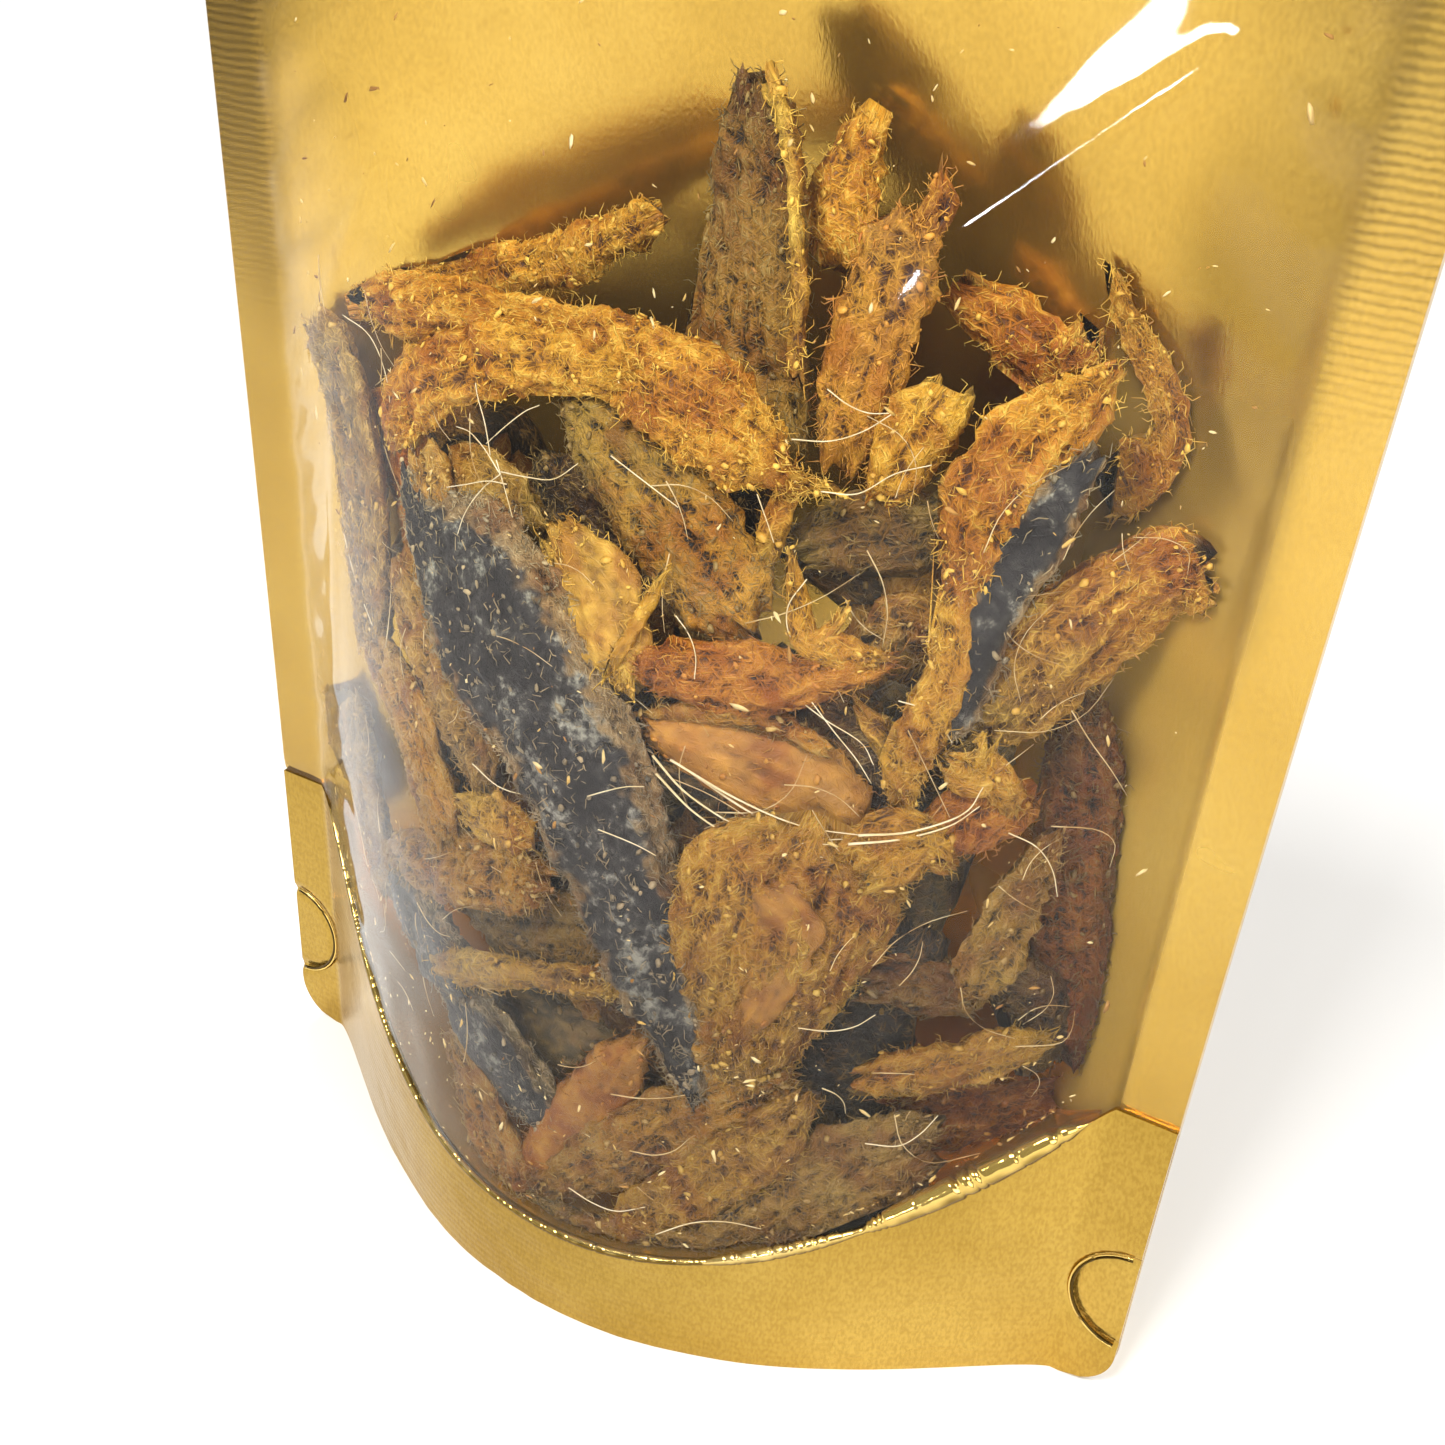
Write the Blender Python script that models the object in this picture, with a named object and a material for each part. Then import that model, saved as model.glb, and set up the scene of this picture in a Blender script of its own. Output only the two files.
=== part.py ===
"""Smoked bonga fish: dry strips of smoked fish in a clear-fronted gold stand-up pouch.

Run with blender --background --python part.py, or from Blender's text editor.
Metres, +Z up. The origin is the centre of the pouch's foot. The clear front faces -Y.
"""
import math

import bmesh
import bpy

MM = 0.001

# Driving dimensions of the pouch
POUCH_HEIGHT = 200 * MM
TOP_WIDTH = 140 * MM
FOOT_WIDTH = 126 * MM
FLARE = 1.3
SIDE_SEAL = 7 * MM
CORNER_RADIUS = 6 * MM
SHEET = 0.8 * MM
GAP = 0.3 * MM

# The open foot: the skirts stand out this far, and the gusset folds this high at the sides
FOOT_DEPTH = 26.5 * MM
GUSSET_FOLD = 41 * MM
FLOOR_HEIGHT = 13 * MM
SEAL_CURVE = 2.3
SKIRT_TOP = 45 * MM

# The filled part narrows from the skirt's top to these heights, where the sheets meet
FRONT_CLOSES = 180 * MM
BACK_CLOSES = 165 * MM
SWELL_POWER = 1.2

# Half-round punch marks at the foot's two ends
PUNCH_RADIUS = 6.8 * MM
PUNCH_HEIGHT = 14.6 * MM
PUNCH_DEPTH = 0.35 * MM

# Mesh fineness
CHAMBER_COLUMNS = 32
SEAL_COLUMNS = 2
CORNER_ROWS = 4
BACK_ROWS = 28
BAG_ROWS = 42
SKIRT_ROWS = 8
FLOOR_ROWS = 8

# Fish strips that press on the clear front: middle x and z, length, width (mm) and
# the turn of the long side from upright, clockwise, in degrees
RELIEF = 1.4 * MM
PRESSING_STRIPS = (
    (-30, 65, 92, 15, -17),
    (-33, 106, 50, 11, -66),
    (-38, 97, 32, 10, 70),
    (-11, 82, 38, 12, -32),
    (2, 122, 52, 11, 6),
    (22, 112, 38, 10, 22),
    (34, 84, 52, 13, 28),
    (47, 81, 28, 12, 48),
    (2, 65, 34, 10, -86),
    (4, 54, 32, 12, -72),
    (3, 34, 38, 18, 22),
    (24, 20, 32, 9, 70),
    (-10, 20, 34, 9, 66),
)


def straight_half_width(z):
    """Half the width of the flat pouch at height z, before its corners are rounded."""
    rise = (max(z, 0.0) / POUCH_HEIGHT) ** FLARE
    return (FOOT_WIDTH + (TOP_WIDTH - FOOT_WIDTH) * rise) / 2


def half_width(z):
    """Half the width at height z, with the four corners rounded."""
    near_end = min(z, POUCH_HEIGHT - z)
    if near_end >= CORNER_RADIUS:
        return straight_half_width(z)
    drop = CORNER_RADIUS - near_end
    return straight_half_width(z) - CORNER_RADIUS + math.sqrt(CORNER_RADIUS ** 2 - drop ** 2)


def chamber_half_width(z):
    """Half the width between the two side seals at height z."""
    return straight_half_width(z) - SIDE_SEAL


def swell(z, closes):
    """How far a panel stands out along its middle at height z."""
    climb = min(max((z - SKIRT_TOP) / (closes - SKIRT_TOP), 0.0), 1.0)
    return FOOT_DEPTH * max(math.cos(math.pi / 2 * climb), 0.0) ** SWELL_POWER


def bulge(x, z, closes):
    """How far a panel stands out at x and z: nothing on the side seals."""
    across = min(abs(x) / chamber_half_width(z), 1.0)
    return swell(z, closes) * (1 - across ** 2) ** SWELL_POWER


def seal_line(across):
    """Height of the curved seal between a skirt and the gusset floor."""
    share = min(abs(across), 1.0)
    return FLOOR_HEIGHT + (GUSSET_FOLD - FLOOR_HEIGHT) * share ** SEAL_CURVE


def strip_relief(x, z):
    """How far the strips inside lift the clear front at x and z."""
    lift = 0.0
    for middle_x, middle_z, length, width, turn in PRESSING_STRIPS:
        angle = math.radians(turn)
        dx = x - middle_x * MM
        dz = z - middle_z * MM
        along = (dx * math.sin(angle) + dz * math.cos(angle)) / (length * MM / 2)
        aside = (dx * math.cos(angle) - dz * math.sin(angle)) / (width * MM / 2)
        reach = along ** 6 + aside ** 2
        if reach < 1:
            lift = max(lift, RELIEF * math.sqrt(1 - reach))
    return lift


def column(side, z):
    """The x of a mesh column, side running from -1 to 1, and its place across the chamber."""
    chamber_share = CHAMBER_COLUMNS / (CHAMBER_COLUMNS + 2 * SEAL_COLUMNS)
    inner = chamber_half_width(z)
    if abs(side) <= chamber_share:
        return side / chamber_share * inner
    outward = (abs(side) - chamber_share) / (1 - chamber_share)
    return math.copysign(inner + outward * (half_width(z) - inner), side)


def across_chamber(side):
    """Place across the chamber, from -1 to 1, of a mesh column."""
    chamber_share = CHAMBER_COLUMNS / (CHAMBER_COLUMNS + 2 * SEAL_COLUMNS)
    return min(max(side / chamber_share, -1.0), 1.0)


def row_height(rise, rows, low, high, round_low, round_high):
    """Height of a mesh row between low and high, with CORNER_ROWS over each rounded corner."""
    low_share = CORNER_ROWS / rows if round_low else 0.0
    high_share = CORNER_ROWS / rows if round_high else 0.0
    low_end = low + (CORNER_RADIUS if round_low else 0.0)
    high_end = high - (CORNER_RADIUS if round_high else 0.0)
    if rise < low_share:
        return low + CORNER_RADIUS * (1 - math.cos(math.pi / 2 * rise / low_share))
    if rise > 1 - high_share:
        return high - CORNER_RADIUS * (1 - math.cos(math.pi / 2 * (1 - rise) / high_share))
    along = (rise - low_share) / (1 - low_share - high_share)
    return low_end + along * (high_end - low_end)


def make_material(name, color, roughness, metallic):
    material = bpy.data.materials.new(name)
    material.use_nodes = True
    shader = material.node_tree.nodes["Principled BSDF"]
    shader.inputs["Base Color"].default_value = (*color, 1)
    shader.inputs["Roughness"].default_value = roughness
    shader.inputs["Metallic"].default_value = metallic
    material.diffuse_color = (*color, 1)
    return material


def make_shell(name, columns, rows, near, far, material, collection):
    """A closed shell between two shaped faces over one grid.

    near and far take a grid point, side from -1 to 1 and rise from 0 to 1, and give its place.
    """
    mesh = bpy.data.meshes.new(name)
    form = bmesh.new()
    bmesh.ops.create_grid(form, x_segments=columns, y_segments=rows, size=1.0)
    near_verts = list(form.verts)
    grown = bmesh.ops.extrude_face_region(form, geom=list(form.faces), use_keep_orig=True)
    far_verts = [item for item in grown["geom"] if isinstance(item, bmesh.types.BMVert)]
    for vert in near_verts:
        vert.co = near(vert.co.x, (vert.co.y + 1) / 2)
    for vert in far_verts:
        vert.co = far(vert.co.x, (vert.co.y + 1) / 2)
    bmesh.ops.recalc_face_normals(form, faces=form.faces)
    for face in form.faces:
        face.smooth = True
    form.to_mesh(mesh)
    form.free()
    mesh.set_sharp_from_angle(angle=math.radians(40))
    obj = bpy.data.objects.new(name, mesh)
    obj.data.materials.append(material)
    collection.objects.link(obj)
    return obj


def make_back(material, collection):
    """The whole back sheet, from the table to the top edge, with its side of the seals."""
    def place(side, rise, y_face):
        z = row_height(rise, BACK_ROWS, 0.0, POUCH_HEIGHT, True, True)
        x = column(side, z)
        return x, y_face + bulge(x, z, BACK_CLOSES), z

    def near(side, rise):
        return place(side, rise, GAP / 2)

    def far(side, rise):
        return place(side, rise, GAP / 2 + SHEET)

    columns = CHAMBER_COLUMNS + 2 * SEAL_COLUMNS
    return make_shell("gold_back", columns, BACK_ROWS, near, far, material, collection)


def make_skirt(material, collection):
    """The gold foot of the front, up to the curved seal and to the gusset fold at the sides."""
    def place(side, rise, y_face):
        z = row_height(rise, SKIRT_ROWS, 0.0, seal_line(across_chamber(side)), True, False)
        x = column(side, z)
        return x, -y_face - bulge(x, z, FRONT_CLOSES), z

    def near(side, rise):
        return place(side, rise, GAP / 2 + SHEET)

    def far(side, rise):
        return place(side, rise, GAP / 2)

    columns = CHAMBER_COLUMNS + 2 * SEAL_COLUMNS
    return make_shell("gold_skirt", columns, SKIRT_ROWS, near, far, material, collection)


def make_floor(material, collection):
    """The gusset spread open: it runs from the front seal back, and climbs to its side folds."""
    def place(side, rise, drop):
        across = side * (1 - 1 / CHAMBER_COLUMNS)
        z = seal_line(across) - drop
        x = across * chamber_half_width(z)
        front_y = -bulge(x, z, FRONT_CLOSES) - GAP / 2
        back_y = bulge(x, z, BACK_CLOSES) + GAP / 2
        clear = 2 * GAP
        return x, front_y + clear + rise * (back_y - front_y - 2 * clear), z

    def near(side, rise):
        return place(side, rise, 0.0)

    def far(side, rise):
        return place(side, rise, SHEET)

    return make_shell("gusset_floor", CHAMBER_COLUMNS, FLOOR_ROWS, near, far, material, collection)


def make_bag(material, collection):
    """The clear front and what fills the pouch behind it, down to the gusset floor."""
    def height(side, rise):
        foot = seal_line(across_chamber(side)) + GAP
        return row_height(rise, BAG_ROWS, foot, POUCH_HEIGHT, False, True)

    def near(side, rise):
        z = height(side, rise)
        x = column(side, z)
        standing_out = bulge(x, z, FRONT_CLOSES)
        pressed = min(strip_relief(x, z), standing_out / 5, FOOT_DEPTH - standing_out)
        return x, -GAP / 2 - SHEET - standing_out - pressed, z

    def far(side, rise):
        z = height(side, rise)
        x = column(side, z)
        behind = bulge(x, z, BACK_CLOSES)
        return x, behind - GAP / 2 - GAP * min(behind / MM, 1.0), z

    columns = CHAMBER_COLUMNS + 2 * SEAL_COLUMNS
    return make_shell("clear_bag", columns, BAG_ROWS, near, far, material, collection)


def punch_marks(skirt, cutters):
    """Press the two half-round punch marks into the foot's ends."""
    face_y = -GAP / 2 - SHEET
    for label, way in (("left", -1), ("right", 1)):
        mesh = bpy.data.meshes.new("punch_" + label)
        form = bmesh.new()
        bmesh.ops.create_cone(form, cap_ends=True, segments=32, radius1=PUNCH_RADIUS,
                              radius2=PUNCH_RADIUS, depth=2 * PUNCH_DEPTH)
        form.to_mesh(mesh)
        form.free()
        cutter = bpy.data.objects.new("punch_" + label, mesh)
        cutter.location = (way * straight_half_width(PUNCH_HEIGHT), face_y, PUNCH_HEIGHT)
        cutter.rotation_euler = (math.pi / 2, 0, 0)
        cutter.display_type = "WIRE"
        cutter.hide_render = True
        cutters.objects.link(cutter)
        cut = skirt.modifiers.new("punch_" + label, "BOOLEAN")
        cut.operation = "DIFFERENCE"
        cut.solver = "EXACT"
        cut.object = cutter


def main():
    for obj in list(bpy.data.objects):
        bpy.data.objects.remove(obj, do_unlink=True)

    scene = bpy.context.scene
    model = bpy.data.collections.new("smoked_bonga_fish")
    cutters = bpy.data.collections.new("cutters")
    scene.collection.children.link(model)
    scene.collection.children.link(cutters)

    gold = make_material("gold_laminate", (0.70, 0.47, 0.12), 0.35, 0.9)
    gold_foot = make_material("gold_laminate_foot", (0.66, 0.44, 0.10), 0.4, 0.9)
    gold_gusset = make_material("gold_laminate_gusset", (0.62, 0.41, 0.10), 0.35, 0.9)
    filled = make_material("clear_film_over_fish", (0.42, 0.24, 0.08), 0.3, 0.0)

    make_back(gold, model)
    skirt = make_skirt(gold_foot, model)
    make_floor(gold_gusset, model)
    make_bag(filled, model)
    punch_marks(skirt, cutters)


main()
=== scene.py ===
import math
import random

import bmesh
import bpy
from mathutils import Matrix, Vector, noise


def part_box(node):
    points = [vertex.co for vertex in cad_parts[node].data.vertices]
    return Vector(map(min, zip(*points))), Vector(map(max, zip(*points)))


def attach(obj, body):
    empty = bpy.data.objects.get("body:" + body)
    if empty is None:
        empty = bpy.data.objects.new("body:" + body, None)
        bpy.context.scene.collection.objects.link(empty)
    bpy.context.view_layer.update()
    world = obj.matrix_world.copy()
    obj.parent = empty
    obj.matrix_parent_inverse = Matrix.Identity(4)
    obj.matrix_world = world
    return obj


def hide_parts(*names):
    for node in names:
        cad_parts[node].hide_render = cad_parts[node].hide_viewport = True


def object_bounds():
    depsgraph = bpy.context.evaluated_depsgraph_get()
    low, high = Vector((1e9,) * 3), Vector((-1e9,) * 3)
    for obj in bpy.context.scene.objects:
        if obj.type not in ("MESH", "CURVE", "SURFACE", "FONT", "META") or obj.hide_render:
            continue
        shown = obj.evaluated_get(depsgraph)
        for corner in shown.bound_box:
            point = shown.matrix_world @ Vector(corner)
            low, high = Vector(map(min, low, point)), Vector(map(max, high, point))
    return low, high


bl_info = {
    "name": "Smoked bonga fish in a stand-up pouch",
    "version": (1, 0, 0),
    "blender": (4, 5, 0),
    "location": "View3D > Sidebar > Pouch",
    "description": "Dresses the pouch's solids with gold film, clear film and dry fish",
    "category": "Object",
}

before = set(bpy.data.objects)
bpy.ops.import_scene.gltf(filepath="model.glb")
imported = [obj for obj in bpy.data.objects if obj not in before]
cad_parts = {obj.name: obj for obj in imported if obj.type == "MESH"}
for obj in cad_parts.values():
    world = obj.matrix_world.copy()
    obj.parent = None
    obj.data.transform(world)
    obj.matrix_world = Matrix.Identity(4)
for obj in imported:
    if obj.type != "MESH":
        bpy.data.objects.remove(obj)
CAD_BOX = [list(corner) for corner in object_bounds()]

MM = 0.001
BACK_LOW, BACK_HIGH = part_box("gold_back")
SKIRT_LOW, SKIRT_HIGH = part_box("gold_skirt")
FLOOR_LOW, FLOOR_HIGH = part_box("gusset_floor")

# The pouch's own sizes: from the frame where a box gives them, else as the pouch is made.
# GAP lies between the front and back sheets, and FACE is a sheet's outer face from their middle.
POUCH_HEIGHT = BACK_HIGH.z
GUSSET_FOLD = SKIRT_HIGH.z
GAP = 0.3 * MM
SHEET = 0.8 * MM
FACE = GAP / 2 + SHEET
FOOT_DEPTH = -SKIRT_LOW.y - FACE
TOP_WIDTH = 140 * MM
FOOT_WIDTH = 126 * MM
FLARE = 1.3
SIDE_SEAL = 7 * MM
TOP_SEAL = 12 * MM
CORNER_RADIUS = 6 * MM
FLOOR_HEIGHT = 13 * MM
SEAL_CURVE = 2.3
SKIRT_TOP = 45 * MM
FRONT_CLOSES = 180 * MM
BACK_CLOSES = 165 * MM
SWELL_POWER = 1.2
# Creases pressed out in the clear film: both ends (x, z, in metres) and height (mm). The film
# lies smooth beside each, and the first is only such a smooth place.
CREASES = (((0.0278, 0.1304), (0.0430, 0.1500), 0.0), ((0.0290, 0.1316), (0.0480, 0.1480), 0.3),
           ((-0.0470, 0.0620), (-0.0440, 0.0980), 0.25), ((-0.0500, 0.1040), (-0.0350, 0.1300), 0.3))
# Rolls that the ridge on the curved seal swells into: start and end (x, mm), share of its radius
RIDGE_ROLLS = ((-50, -25, 0.4), (-26, -6, 0.42), (-7, 19.6, 0.42), (19.9, 35.3, 0.66),
               (35.5, 54.8, 1.3))
# How far across the seal the ridge runs, and how far it may stand out of the solids' box
RIDGE_REACH = 0.97
RIDGE_PROUD = 2.5 * MM
# The half-round punch marks on the side edges of the foot
PUNCH_RADIUS = 6.8 * MM
PUNCH_HEIGHT = 14.6 * MM


def straight_half_width(z):
    """Half the width of the pouch at height z, before its corners are rounded."""
    rise = (max(z, 0.0) / POUCH_HEIGHT) ** FLARE
    return (FOOT_WIDTH + (TOP_WIDTH - FOOT_WIDTH) * rise) / 2


def half_width(z):
    """Half the width at height z, with the four corners rounded."""
    near_end = min(z, POUCH_HEIGHT - z)
    if near_end >= CORNER_RADIUS:
        return straight_half_width(z)
    drop = min(CORNER_RADIUS - near_end, CORNER_RADIUS)
    return straight_half_width(z) - CORNER_RADIUS + math.sqrt(CORNER_RADIUS ** 2 - drop ** 2)


def chamber_half_width(z):
    """Half the width between the two side seals."""
    return straight_half_width(z) - SIDE_SEAL


def bulge(x, z, closes):
    """How far a panel stands out at x and z: nothing on the side seals."""
    climb = min(max((z - SKIRT_TOP) / (closes - SKIRT_TOP), 0.0), 1.0)
    swell = FOOT_DEPTH * max(math.cos(math.pi / 2 * climb), 0.0) ** SWELL_POWER
    across = min(abs(x) / chamber_half_width(z), 1.0)
    return swell * (1 - across ** 2) ** SWELL_POWER


def seal_line(across):
    """Height of the curved seal between a skirt and the gusset floor."""
    return FLOOR_HEIGHT + (GUSSET_FOLD - FLOOR_HEIGHT) * min(abs(across), 1.0) ** SEAL_CURVE


def smooth(low, high, value):
    """0 at low, 1 at high, and an eased ramp between, held outside them."""
    t = min(max((value - low) / (high - low), 0.0), 1.0)
    return t * t * (3 - 2 * t)


def ripple(x, y, z):
    """Even noise about zero, with lumps about one unit wide."""
    return noise.noise(Vector((x, y, z)))


def waves(x, z, size, seed):
    """Even noise over the pouch's face, with lumps of about the given size."""
    return ripple(x / size, seed * 7.31, z / size)


def on_top_seal(z):
    """1 on the seal along the top edge, and 0 below it."""
    return smooth(POUCH_HEIGHT - TOP_SEAL - 0.5 * MM, POUCH_HEIGHT - TOP_SEAL + 0.5 * MM, z)


def column(side, z, chamber_share):
    """The x of a mesh column, side running from -1 to 1 with the seals at its ends."""
    inner = chamber_half_width(z)
    if abs(side) <= chamber_share:
        return side / chamber_share * inner
    outward = (abs(side) - chamber_share) / (1 - chamber_share)
    return math.copysign(inner + outward * (half_width(z) - inner), side)


def pucker(x, z, seed):
    """Slanting folds that run from a side seal into the slack film."""
    slant = abs(x) * 0.9 + z
    return waves(slant * 0.08, slant, 4.2 * MM, seed) + 0.5 * waves(x, z, 7 * MM, seed + 1)


def film_front(x, z):
    """The y of the clear film's outer face: taut, with slack dents and puckered side seals."""
    out = bulge(x, z, FRONT_CLOSES)
    slack = min(out / (6 * MM), 1.0)
    dents = 0.55 * waves(x, z, 17 * MM, 1) + 0.25 * waves(x, z, 6 * MM, 2)
    from_seal = (chamber_half_width(z) - abs(x)) / (9 * MM)
    folds = 0.7 * math.exp(-max(from_seal, 0.0) ** 2) * pucker(x, z, 3)
    crease = 0.0
    for start, end, height in CREASES:
        along = ((x - start[0]) * (end[0] - start[0]) + (z - start[1]) * (end[1] - start[1])) \
            / math.dist(start, end) ** 2
        share = min(max(along, 0.0), 1.0)
        apart = math.dist((x, z), [a + (b - a) * share for a, b in zip(start, end)])
        crease += height * math.exp(-(apart / (1.3 * MM)) ** 2)
        dents *= 1 - 0.96 * math.exp(-(apart / (15 * MM)) ** 2)
    lift = (dents * slack + folds * smooth(0.0, 0.3, from_seal) + crease) * MM
    return -FACE - out - max(min(lift, FOOT_DEPTH - out), -out / 3)


def outward(x, z):
    """Unit normal of the clear front, without its dents."""
    step = 1 * MM
    dx = bulge(x + step, z, FRONT_CLOSES) - bulge(x - step, z, FRONT_CLOSES)
    dz = bulge(x, z + step, FRONT_CLOSES) - bulge(x, z - step, FRONT_CLOSES)
    return Vector((-dx, -2 * step, -dz)).normalized()


def make_shell(name, columns, rows, lie, near=False, far=True):
    """A closed shell over one grid: lie(side, rise, face) shapes its near and its far face."""
    form = bmesh.new()
    bmesh.ops.create_grid(form, x_segments=columns, y_segments=rows, size=1.0)
    near_verts = list(form.verts)
    grown = bmesh.ops.extrude_face_region(form, geom=list(form.faces), use_keep_orig=True)
    far_verts = [item for item in grown["geom"] if isinstance(item, bmesh.types.BMVert)]
    for verts, face in ((near_verts, near), (far_verts, far)):
        for vert in verts:
            vert.co = lie(vert.co.x, (vert.co.y + 1) / 2, face)
    bmesh.ops.recalc_face_normals(form, faces=form.faces)
    return finish_form(name, form, 50)


def mark_points(obj, name, value_at):
    """Write value_at(x, z) on each point of a mesh, for its material to read."""
    layer = obj.data.attributes.new(name, "FLOAT", "POINT")
    for vert in obj.data.vertices:
        layer.data[vert.index].value = value_at(vert.co.x, vert.co.z)


def finish_form(name, form, sharp_angle):
    """Turn a bmesh into a smooth-shaded object at the origin."""
    mesh = bpy.data.meshes.new(name)
    for face in form.faces:
        face.smooth = True
    form.to_mesh(mesh)
    form.free()
    if sharp_angle:
        mesh.set_sharp_from_angle(angle=math.radians(sharp_angle))
    obj = bpy.data.objects.new(name, mesh)
    bpy.context.scene.collection.objects.link(obj)
    return obj


def linear(hex_color):
    """An sRGB hex colour as linear red, green, blue and alpha."""
    values = [int(hex_color[i:i + 2], 16) / 255 for i in (1, 3, 5)]
    curve = [v / 12.92 if v <= 0.04045 else ((v + 0.055) / 1.055) ** 2.4 for v in values]
    return (*curve, 1.0)


def new_material(name):
    """An empty node material."""
    material = bpy.data.materials.new(name)
    material.use_nodes = True
    material.node_tree.nodes.clear()
    return material


def node(tree, kind, settings=None, **sockets):
    """Add a node, with its settings and with its inputs set or linked."""
    made = tree.nodes.new(kind)
    for key, value in (settings or {}).items():
        setattr(made, key, value)
    for key, value in sockets.items():
        socket = made.inputs[int(key[1:])] if key[1:].isdigit() else made.inputs[key.replace("_", " ")]
        if isinstance(value, bpy.types.NodeSocket):
            tree.links.new(value, socket)
        else:
            socket.default_value = value
    return made


def ramp(tree, factor, stops, tint=(1.0, 1.0, 1.0)):
    """A colour ramp over (place, hex colour) stops, each multiplied by the tint."""
    made = node(tree, "ShaderNodeValToRGB", i0=factor)
    elements = made.color_ramp.elements
    while len(elements) < len(stops):
        elements.new(1.0)
    for element, (place, hex_color) in zip(elements, stops):
        element.position = place
        element.color = [a * b for a, b in zip(linear(hex_color), (*tint, 1.0))]
    return made.outputs[0]


def gold_film(name, shade, crimp, gloss=0.0):
    """Metallised polyester laminate: satin gold that mirrors softly; crimped where heat sealed.

    The mesh gives the heat seals in "crimp", a painted shade and dark reflection in a third attribute,
    and where the film is pressed flat and duller in "satin".
    """
    settings = bpy.context.scene.pouch_film
    material = new_material(name)
    tree = material.node_tree
    place = node(tree, "ShaderNodeTexCoord").outputs["Object"]
    cloud = node(tree, "ShaderNodeTexNoise",
                 Vector=place, Scale=1 / (28 * MM), Detail=3.0)
    # The film's grain is too fine to show, so it is drawn 0.36 mm wide and twice as long
    drawn = node(tree, "ShaderNodeMapping", Vector=place, Scale=(1.0, 1.0, 0.5))
    grain = node(tree, "ShaderNodeTexNoise",
                 Vector=drawn.outputs[0], Scale=1 / (0.36 * MM), Detail=2.0)
    color = ramp(tree, cloud.outputs[0], ((0.3, shade[0]), (0.5, shade[1]), (0.7, shade[2])),
                 settings.gold_tint)
    speckle = ramp(tree, grain.outputs[0], ((0.36, "#D2C8B2"), (0.62, "#FFFFFF")))
    color = node(tree, "ShaderNodeMix", {"data_type": "RGBA", "blend_type": "MULTIPLY"},
                 i0=min(crimp * 2.2, 1.0), i6=color, i7=speckle).outputs[2]
    # Painted shade: dark olive where the mesh marks shade and dark reflection
    painted_shade = node(tree, "ShaderNodeAttribute", {"attribute_name": "painted_shade"}).outputs["Fac"]
    color = node(tree, "ShaderNodeMix", {"data_type": "RGBA"}, i0=painted_shade,
                 i6=color, i7=linear("#6A5116")).outputs[2]
    satin = node(tree, "ShaderNodeAttribute", {"attribute_name": "satin"}).outputs["Fac"]
    metal = node(tree, "ShaderNodeMath", {"operation": "MULTIPLY_ADD"}, i0=satin, i1=-0.56, i2=0.86)
    rough = node(tree, "ShaderNodeMapRange", i0=cloud.outputs[0], i1=0.3, i2=0.7,
                 i3=max(settings.gold_roughness - 0.04 - gloss, 0.02),
                 i4=settings.gold_roughness + 0.08 - gloss)
    # Ribs that the sealing jaws press in, 0.9 mm apart
    ribs = node(tree, "ShaderNodeTexWave", {"wave_type": "BANDS", "bands_direction": "Z"},
                Vector=place, Scale=0.314 / (0.9 * MM), Distortion=2.5, Detail=2.0)
    spread = node(tree, "ShaderNodeAttribute", {"attribute_name": "crimp"}).outputs["Fac"]
    rib_height = node(tree, "ShaderNodeMath", {"operation": "MULTIPLY"},
                      i0=ribs.outputs["Fac"], i1=spread)
    rib_bump = node(tree, "ShaderNodeBump", Strength=crimp, Distance=0.12 * MM,
                    Height=rib_height.outputs[0])
    grain_bump = node(tree, "ShaderNodeBump", Strength=0.2 + 0.9 * crimp, Distance=0.06 * MM,
                      Height=grain.outputs[0], Normal=rib_bump.outputs[0])
    shader = node(tree, "ShaderNodeBsdfPrincipled", Base_Color=color,
                  Metallic=metal.outputs[0], Roughness=rough.outputs[0], Normal=grain_bump.outputs[0])
    node(tree, "ShaderNodeOutputMaterial", Surface=shader.outputs[0])
    return material


def clear_film():
    """Clear polyester film: seen through, with a sharp gloss and a faint milky haze."""
    material = new_material("clear_polyester_film")
    tree = material.node_tree
    through = node(tree, "ShaderNodeBsdfTransparent", Color=(0.985, 0.98, 0.97, 1))
    haze = node(tree, "ShaderNodeBsdfDiffuse", Color=linear("#EFEAE4"))
    gloss = node(tree, "ShaderNodeBsdfGlossy", Color=(1, 1, 1, 1), Roughness=0.035)
    milky = node(tree, "ShaderNodeMixShader", i0=bpy.context.scene.pouch_film.haze,
                 i1=through.outputs[0], i2=haze.outputs[0])
    slant = node(tree, "ShaderNodeLayerWeight", Blend=0.5).outputs["Facing"]
    steep = node(tree, "ShaderNodeMath", {"operation": "POWER"}, i0=slant, i1=5.0)
    mirror = node(tree, "ShaderNodeMath", {"operation": "MULTIPLY_ADD"},
                  i0=steep.outputs[0], i1=0.62, i2=0.008)
    both = node(tree, "ShaderNodeMixShader", i0=mirror.outputs[0],
                i1=milky.outputs[0], i2=gloss.outputs[0])
    node(tree, "ShaderNodeOutputMaterial", Surface=both.outputs[0])
    return material


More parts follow.
